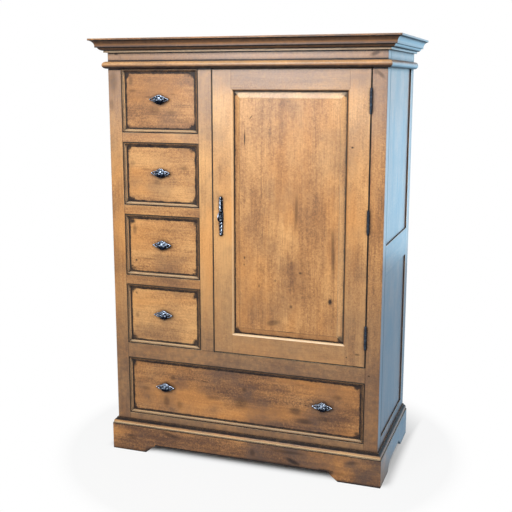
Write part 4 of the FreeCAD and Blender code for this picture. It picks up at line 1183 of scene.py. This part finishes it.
# %% Pewter finish
def pewter():
    sheet = Finish("pewter")
    place = sheet.node("ShaderNodeTexCoord", out="Object")
    front = sheet.attribute("front", out="Fac")
    grime = sheet.cloud(place, 300.0, 3.0, 0.6)
    hammered = sheet.cloud(place, 900.0, 2.0)
    open_sky = sheet.open_sky(0.006)
    # Painted highlight where a spot faces forwards and up, away from the patina of the hollows;
    # painted shade elsewhere.
    bright = (front.step(0.45, 0.95) * open_sky.step(0.4, 0.85) * (0.3 + grime * 1.5)).least(1.0)
    colour = sheet.blend(bright, paint(12, 20, 36), paint(198, 213, 236))
    return sheet.set(
        Base_Color=colour,
        Metallic=0.9,
        Roughness=0.5 - bright * 0.2,
        Normal=sheet.relief(hammered, 0.5),
    )


FINISHES["pewter"] = pewter()
print("pewter is mixed from", len(FINISHES["pewter"].node_tree.nodes), "nodes")

# %% [markdown]
# ## Joining a casting
# The parts of a casting are joined into one mesh, and each spot learns how far it faces forwards
# and up. The finish paints a highlight on the spots that face that way and shade on the others; a
# drawer pull's lower half counts less, as painted shade. On the door pull the parts that stand out
# less than the bow count a little less, as hands polish what stands out.

# %% Joining a casting
HANDLED_FRONT = -0.014


def join(meshes):
    """Several meshes as one BMesh, with every shell's normals outwards."""
    shape = bmesh.new()
    for mesh in meshes:
        shape.from_mesh(mesh)
        bpy.data.meshes.remove(mesh)
    bmesh.ops.remove_doubles(shape, verts=shape.verts, dist=1e-7)
    bmesh.ops.recalc_face_normals(shape, faces=shape.faces)
    return shape


def casting(name, meshes, dull=1.0, underside=0.0):
    """Join the shells of a casting and store how far each spot faces forwards and up."""
    shape = join(meshes)
    shape.normal_update()
    layer = shape.verts.layers.float.new("front")
    for vert in shape.verts:
        forward = 0.75 * -vert.normal.y + 0.55 * vert.normal.z - 0.1 * vert.normal.x
        # Painted shade: spots below the middle count less, so the lower half looks shaded.
        forward += underside * min(0.0, vert.co.z)
        vert[layer] = max(0.0, forward * (1.0 if vert.co.y < HANDLED_FRONT else dull))
    for face in shape.faces:
        face.smooth = True
        face.material_index = 0
    mesh = bpy.data.meshes.new(name)
    shape.to_mesh(mesh)
    shape.free()
    mesh.materials.clear()
    mesh.materials.append(FINISHES["pewter"])
    return mesh


print("hands reach what stands out by", round(-HANDLED_FRONT / MM), "mm")

# %% [markdown]
# ## Parts of a casting
# A casting is put together from turned feet, balls, bent wires and closed shells, all given in
# millimetres.

# %% Parts of a casting
LATHE_SIDES = 20


def directions(count):
    """The cosine and sine of equal steps round a circle."""
    angles = [2 * math.pi * k / count for k in range(count)]
    return [(math.cos(angle), math.sin(angle)) for angle in angles]


def shell_mesh(name, rings):
    """A closed mesh through rings of points in millimetres."""
    mesh = bpy.data.meshes.new(name)
    shape = bmesh.new()
    rows = [[shape.verts.new([x * MM for x in place]) for place in ring] for ring in rings]
    for low, high in zip(rows, rows[1:]):
        for k in range(len(low)):
            after = (k + 1) % len(low)
            shape.faces.new((low[k], low[after], high[after], high[k]))
    shape.faces.new(rows[0])
    shape.faces.new(rows[-1])
    bmesh.ops.recalc_face_normals(shape, faces=shape.faces)
    shape.to_mesh(mesh)
    shape.free()
    return mesh


def lathe(profile, centre=(0, 0, 0)):
    """Turn a profile of (distance forwards, radius) round the axis that points at the viewer."""
    x, y, z = centre
    rings = []
    for forwards, radius in profile:
        circle = [(radius * cos, radius * sin) for cos, sin in directions(LATHE_SIDES)]
        rings.append([(across + x, y - forwards, up + z) for across, up in circle])
    return shell_mesh("lathe", rings)


def ball(centre, radius):
    mesh = bpy.data.meshes.new("ball")
    shape = bmesh.new()
    matrix = Matrix.Translation(Vector(centre) * MM)
    bmesh.ops.create_icosphere(shape, subdivisions=2, radius=radius * MM, matrix=matrix)
    shape.to_mesh(mesh)
    shape.free()
    return mesh


def wire(points, radii, closed=False, resolution=4):
    """A smooth cast wire through points in millimetres, with its own thickness at each point."""
    data = bpy.data.curves.new("wire", "CURVE")
    data.dimensions = "3D"
    data.bevel_depth = MM
    data.bevel_resolution = 2
    data.use_fill_caps = True
    spline = data.splines.new("NURBS")
    spline.points.add(len(points) - 1)
    for point, place, radius in zip(spline.points, points, radii):
        point.co = (*[x * MM for x in place], 1)
        point.radius = radius
    spline.order_u = 3
    spline.use_cyclic_u = closed
    spline.use_endpoint_u = not closed
    spline.resolution_u = resolution
    mesh = plain_mesh(in_scene("wire", data), "wire")
    bpy.data.curves.remove(data)
    return mesh


print("turned parts have", LATHE_SIDES, "sides")

# %% [markdown]
# ## C-scrolls
# Each scroll is a spiral with a tapering round section and a small bead in its eye. The recipe
# places one on every guide point, turned, sized and mirrored by the numbers stored there.

# %% Scroll recipe
def scroll_recipe():
    sheet = Recipe("scrolls", turns=1.15, thickness=0.24, bead=0.3, material=FINISHES["pewter"])
    sockets = {"Start Radius": 0.22, "End Radius": 1.0, "Height": 0.0}
    sockets |= {"Resolution": 14, "Rotations": sheet.input("turns")}
    spiral = sheet.node("GeometryNodeCurveSpiral", None, sockets)
    along = sheet.node("GeometryNodeSplineParameter", out="Factor")
    section = sheet.node("GeometryNodeCurvePrimitiveCircle", None, {"Resolution": 7, "Radius": 1.0})
    taper = sheet.input("thickness") * (1.15 - abs(along - 0.45) * 1.3)
    sockets = {"Curve": spiral, "Profile Curve": section, "Scale": taper, "Fill Caps": True}
    body = sheet.node("GeometryNodeCurveToMesh", None, sockets)
    sockets = {"Radius": sheet.input("bead"), "Subdivisions": 2}
    eye = sheet.node("GeometryNodeMeshIcoSphere", None, sockets)
    sockets = {"Geometry": sheet.join(eye, body), "Rotation": (math.pi / 2, 0, 0)}
    upright = sheet.node("GeometryNodeTransform", None, sockets)
    turn = sheet.vector(sheet.field("nod"), sheet.field("turn"), sheet.field("yaw"))
    size = sheet.field("size")
    scale = sheet.vector(size * sheet.field("side"), size * 1.15, size)
    return sheet.stand(upright, Rotation=turn, Scale=scale)


SCROLLS = scroll_recipe()


def scrolls(rows):
    """Scrolls from rows of place, size, turn in degrees, side and lean to the sides and up."""
    columns = list(zip(*rows))
    guide = guide_points(
        [Vector(place) * MM for place in columns[0]],
        size=[size * MM for size in columns[1]],
        turn=[math.radians(turn) for turn in columns[2]],
        side=[float(side) for side in columns[3]],
        yaw=[math.radians(yaw) for yaw in columns[4]],
        nod=[math.radians(nod) for nod in columns[5]],
    )
    return SCROLLS.run(guide)


print("scroll recipe has", len(SCROLLS.tree.nodes), "nodes")

# %% [markdown]
# ## The dome of a drawer pull
# The cast pull is a small dome of openwork. Its outline lies between an oval and a diamond, its
# crown falls off towards the rim, and a dark shell closes it behind the scrolls.

# %% Dome
DOME_HALF = (24.0, 17.8)
DOME_CORNER = 1.45
DOME_FRONT = 20.0
DOME_DROP = 8.0


def dome_share(x, z):
    """0 in the middle of the dome, 1 on its outline, which is between an oval and a diamond."""
    shares = [abs(part / half) ** DOME_CORNER for part, half in zip((x, z), DOME_HALF)]
    return sum(shares) ** (1 / DOME_CORNER)


def dome_place(x, z, lift=0.0):
    """A point on the dome's crown above the drawer's face, in millimetres."""
    return (x, -(DOME_FRONT - DOME_DROP * min(1.0, dome_share(x, z)) ** 2) - lift, z)


def outline(share, count):
    """Points round the dome's outline, or a smaller copy of it."""
    points = []
    for x, z in directions(count):
        size = share / dome_share(x, z)
        points.append((x * size, z * size))
    return points


def dome_shell():
    """The dark shell behind the scrolls: rings that follow the outline and rise to the middle."""
    rows = [(0.1, 11), (0.97, 10), (0.97, 11.4), (0.8, 14), (0.55, 16), (0.3, 17.2), (0.06, 17.6)]
    rings = [[(x, -out, z) for x, z in outline(share, 32)] for share, out in rows]
    return shell_mesh("shell", rings)


print("the dome is", 2 * DOME_HALF[0], "by", 2 * DOME_HALF[1], "mm")

# %% [markdown]
# ## The drawer pull
# Scrolls lie round a ball in a ring. At each side two wires run together into a ball, so that an
# open triangle is left between them. The pull stands on a turned stem, and a shank goes through
# the drawer's front.

# %% Drawer pull
TIP_REACH = 37.2


def pull_mesh():
    """One pull, its stem's foot at the origin and its front towards -Y."""
    stem = [(-22, 2.6), (0, 2.6), (0.2, 7.6), (2.2, 7.4), (3.6, 4.6), (8, 3.7), (11.5, 6)]
    meshes = [lathe(stem), dome_shell()]
    rim = [dome_place(x, z, -0.6) for x, z in outline(0.97, 20)]
    meshes.append(wire(rim, [1.5] * 20, closed=True, resolution=3))
    rows = []
    for x_side in (-1, 1):
        for z_side in (-1, 1):
            mirror = x_side * z_side
            lean = (x_side * 12, z_side * 12)
            outer = dome_place(10.6 * x_side, 5.6 * z_side, 0.6)
            rows.append((outer, 7.4, 40 * mirror, mirror, *lean))
            upper = dome_place(3.9 * x_side, 12.0 * z_side, 0.4)
            rows.append((upper, 4.2, -60 * mirror, -mirror, 0, lean[1]))
    meshes.append(scrolls(rows))
    ring = [(4.4 * x, -20.0, 4.4 * z) for x, z in directions(12)]
    meshes.append(wire(ring, [1.3] * 12, closed=True, resolution=2))
    meshes.append(ball((0, -20.2, 0), 2.4))
    for x_side in (-1, 1):
        for z_side in (-1, 1):
            path = [
                (17.5 * x_side, -12.5, 8.4 * z_side), (23.5 * x_side, -11.8, 7.4 * z_side),
                (29.5 * x_side, -11.0, 4.6 * z_side), (TIP_REACH * x_side, -10.6, 1.0 * z_side),
            ]
            meshes.append(wire(path, [2.0, 2.1, 1.9, 1.5]))
        meshes.append(ball((22.6 * x_side, -12.6, 0), 2.7))
        meshes.append(ball((TIP_REACH * x_side, -10.9, 0), 3.9))
    return casting("pull", meshes, underside=30.0)


def place_recipe(mesh):
    """Copies of one finished mesh, one on each guide point."""
    holder = in_scene("pattern", mesh)
    sheet = Recipe("placed", material=FINISHES["pewter"])
    pattern = sheet.node("GeometryNodeObjectInfo", None, {"Object": holder}, out="Geometry")
    return sheet.stand(pattern), holder


PULLS, PULL_PATTERN = place_recipe(pull_mesh())
PULL_STANDS_OUT = 0.023
HALF_PULL = 0.04
for name in DRAWERS:
    node_name = "wide_drawer_pulls" if name == "wide_drawer" else f"{name}_pull"
    low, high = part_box(node_name)
    spread = (high[0] - low[0]) / 2 - HALF_PULL
    middle = ((low[0] + high[0]) / 2, low[1] + PULL_STANDS_OUT, (low[2] + high[2]) / 2)
    sides = (-1, 1) if name == "wide_drawer" else (0,)
    places = [(middle[0] + spread * side, *middle[1:]) for side in sides]
    mesh = PULLS.run(guide_points(places))
    add_piece(f"{name}_cast_pull", mesh, node_name, "pewter")
bpy.data.objects.remove(PULL_PATTERN)
print("pull:", len(mesh.polygons) // 2, "faces")

# %% [markdown]
# ## Twisted stalks
# Twisted stalks run up and down from the middle of the door pull. Two strands lie side by side and
# turn along their way; the lower stalk is the mirror image of the upper one.

# %% Twisted stalk recipe
def stalk_recipe():
    """Two strands round a line: a two-lobed section that turns along its way."""
    sheet = Recipe("stalk", length=0.046, strand=0.0037, pitch=-0.03, material=FINISHES["pewter"])
    strand = sheet.input("strand")
    sockets = {"Start": (0, 0, 0), "End": sheet.vector(0.0, 0.0, sheet.input("length"))}
    line = sheet.node("GeometryNodeCurvePrimitiveLine", None, sockets)
    fine = sheet.node("GeometryNodeResampleCurve", {"mode": "COUNT"}, {"Curve": line, "Count": 48})
    along = sheet.node("GeometryNodeSplineParameter", out="Length")
    sockets = {"Curve": fine, "Tilt": along / sheet.input("pitch") * (2 * math.pi)}
    turned = sheet.node("GeometryNodeSetCurveTilt", None, sockets)
    sockets = {"Resolution": 8, "Radius": strand}
    section = sheet.node("GeometryNodeCurvePrimitiveCircle", None, sockets)
    pair = []
    for side in (-1, 1):
        beside = sheet.vector(strand * (0.9 * side), 0.0, 0.0)
        sockets = {"Geometry": section, "Translation": beside}
        pair.append(sheet.node("GeometryNodeTransform", None, sockets))
    taper = 1.08 - sheet.node("GeometryNodeSplineParameter", out="Factor") * 0.2
    sockets = {"Curve": turned, "Profile Curve": sheet.join(*pair)}
    sockets |= {"Scale": taper, "Fill Caps": True}
    body = sheet.node("GeometryNodeCurveToMesh", None, sockets)
    return sheet.stand(body, Scale=sheet.vector(1.0, 0.7, sheet.field("side")))


STALKS = stalk_recipe()
print("stalk recipe has", len(STALKS.tree.nodes), "nodes")

# %% [markdown]
# ## Plate and bow
# On the door stands a long cast plate with a scalloped outline, broad in the middle. A bow to take
# hold of stands out from it.

# %% Plate and bow
PLATE_HALF_LENGTH = 72.0
PLATE_HALF_WIDTHS = (4.6, 8.4)
PLATE_BROAD_HALF = 22.0
SCALLOP_LENGTH = 11.5
SCALLOP_DEPTH = 0.16
BOW_FOOT = 18.0
BOW_LEG = 16.0


def door_plate():
    """A thin plate with a scalloped outline, broad in the middle, and a raised edge."""
    slim, broad = PLATE_HALF_WIDTHS
    rings = []
    for forwards, inset in ((0.0, 0.0), (1.4, 0.0), (2.2, 0.9)):
        ring = []
        for cos, sin in directions(96):
            z = PLATE_HALF_LENGTH * sin
            taper = math.sqrt(max(0.0, 1 - (abs(z) / PLATE_HALF_LENGTH) ** 6))
            scallop = 1 + SCALLOP_DEPTH * math.cos(z / SCALLOP_LENGTH * 2 * math.pi)
            widest = slim + (broad - slim) / (1 + (z / PLATE_BROAD_HALF) ** 8)
            width = (widest * scallop * taper - inset) * (1 if cos >= 0 else -1)
            ring.append((0.0 if abs(cos) < 1e-6 else width, -forwards, z))
        rings.append(ring)
    return shell_mesh("plate", rings)


def bow_path():
    """The bow: straight out from one foot, round, and back to the other."""
    path = [(0, -1, BOW_FOOT), (0, -BOW_LEG * 0.5, BOW_FOOT + 0.6), (0, -BOW_LEG, BOW_FOOT)]
    for degrees in range(25, 180, 22):
        angle = math.radians(degrees)
        path.append((0, -BOW_LEG - BOW_FOOT * math.sin(angle), BOW_FOOT * math.cos(angle)))
    path += [(0, -BOW_LEG, -BOW_FOOT), (0, -BOW_LEG * 0.5, -BOW_FOOT - 0.6), (0, -1, -BOW_FOOT)]
    return path


print("the plate is", 2 * PLATE_HALF_LENGTH, "mm long")

# %% [markdown]
# ## The door pull
# The twisted stalks lie on the plate and end in balls, small scrolls grow from them on both sides,
# and the bow has two ringed feet. Its painted highlights are weaker where it stands out less than
# the bow, which hands polish, so it is darker than the drawer pulls.

# %% Door pull
STALK_START = 23.0


def door_pull_mesh():
    meshes = [door_plate()]
    path = bow_path()
    middle = (len(path) - 1) / 2
    radii = [3.3 - 1.2 * abs(k - middle) / middle for k in range(len(path))]
    meshes.append(wire(path, radii, resolution=6))
    foot = [
        (0, 7.4), (1.6, 7.4), (2.6, 5.4), (3.6, 5.2), (4.4, 6.4),
        (5.6, 6.2), (6.4, 4.2), (8.2, 3.6), (9, 1),
    ]
    rows = []
    for z_side in (-1, 1):
        meshes.append(lathe(foot, centre=(0, -1.5, BOW_FOOT * z_side)))
        meshes.append(ball((0, -6.0, 70.2 * z_side), 6.3))
        for k, z in enumerate((29.0, 36.5, 44.0, 51.5, 58.0)):
            x_side = 1 if k % 2 else -1
            size = 4.3 - 0.35 * k
            mirror = x_side * z_side
            rows.append(((4.4 * x_side, -5.6, z * z_side), size, 30 * mirror, mirror, 0, 0))
            rows.append(((-4.6 * x_side, -3.4, (z + 2) * z_side), size * 0.62, 60, -mirror, 0, 0))
    for x_side in (-1, 1):
        rows.append(((4.6 * x_side, -3.6, 6.0), 4.2, 20 * x_side, x_side, 0, 0))
        rows.append(((4.6 * x_side, -3.6, -6.0), 4.2, -20 * x_side, -x_side, 0, 0))
    meshes.append(scrolls(rows))
    starts = [(0, -5.2 * MM, z * MM) for z in (STALK_START, -STALK_START)]
    meshes.append(STALKS.run(guide_points(starts, side=[1.0, -1.0])))
    meshes.append(ball((0, -3.4, 0), 3.0))
    return casting("door_pull", meshes, dull=0.86)


low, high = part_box("door_pull_plate")
plate_place = Vector(((low[0] + high[0]) / 2, high[1], (low[2] + high[2]) / 2))
mesh = door_pull_mesh()
mesh.transform(Matrix.Translation(plate_place))
add_piece("door_cast_pull", mesh, "door_pull_plate", "pewter", extra_nodes=("door_pull",))
print("door pull:", len(mesh.polygons), "faces")

# %% [markdown]
# ## Sizes and closing
# The solids give the size. The visual model has to stay inside their box, so both boxes are
# printed.

# %% Finish
visual_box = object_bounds()
print("box", [round(x, 4) for corner in visual_box for x in corner])
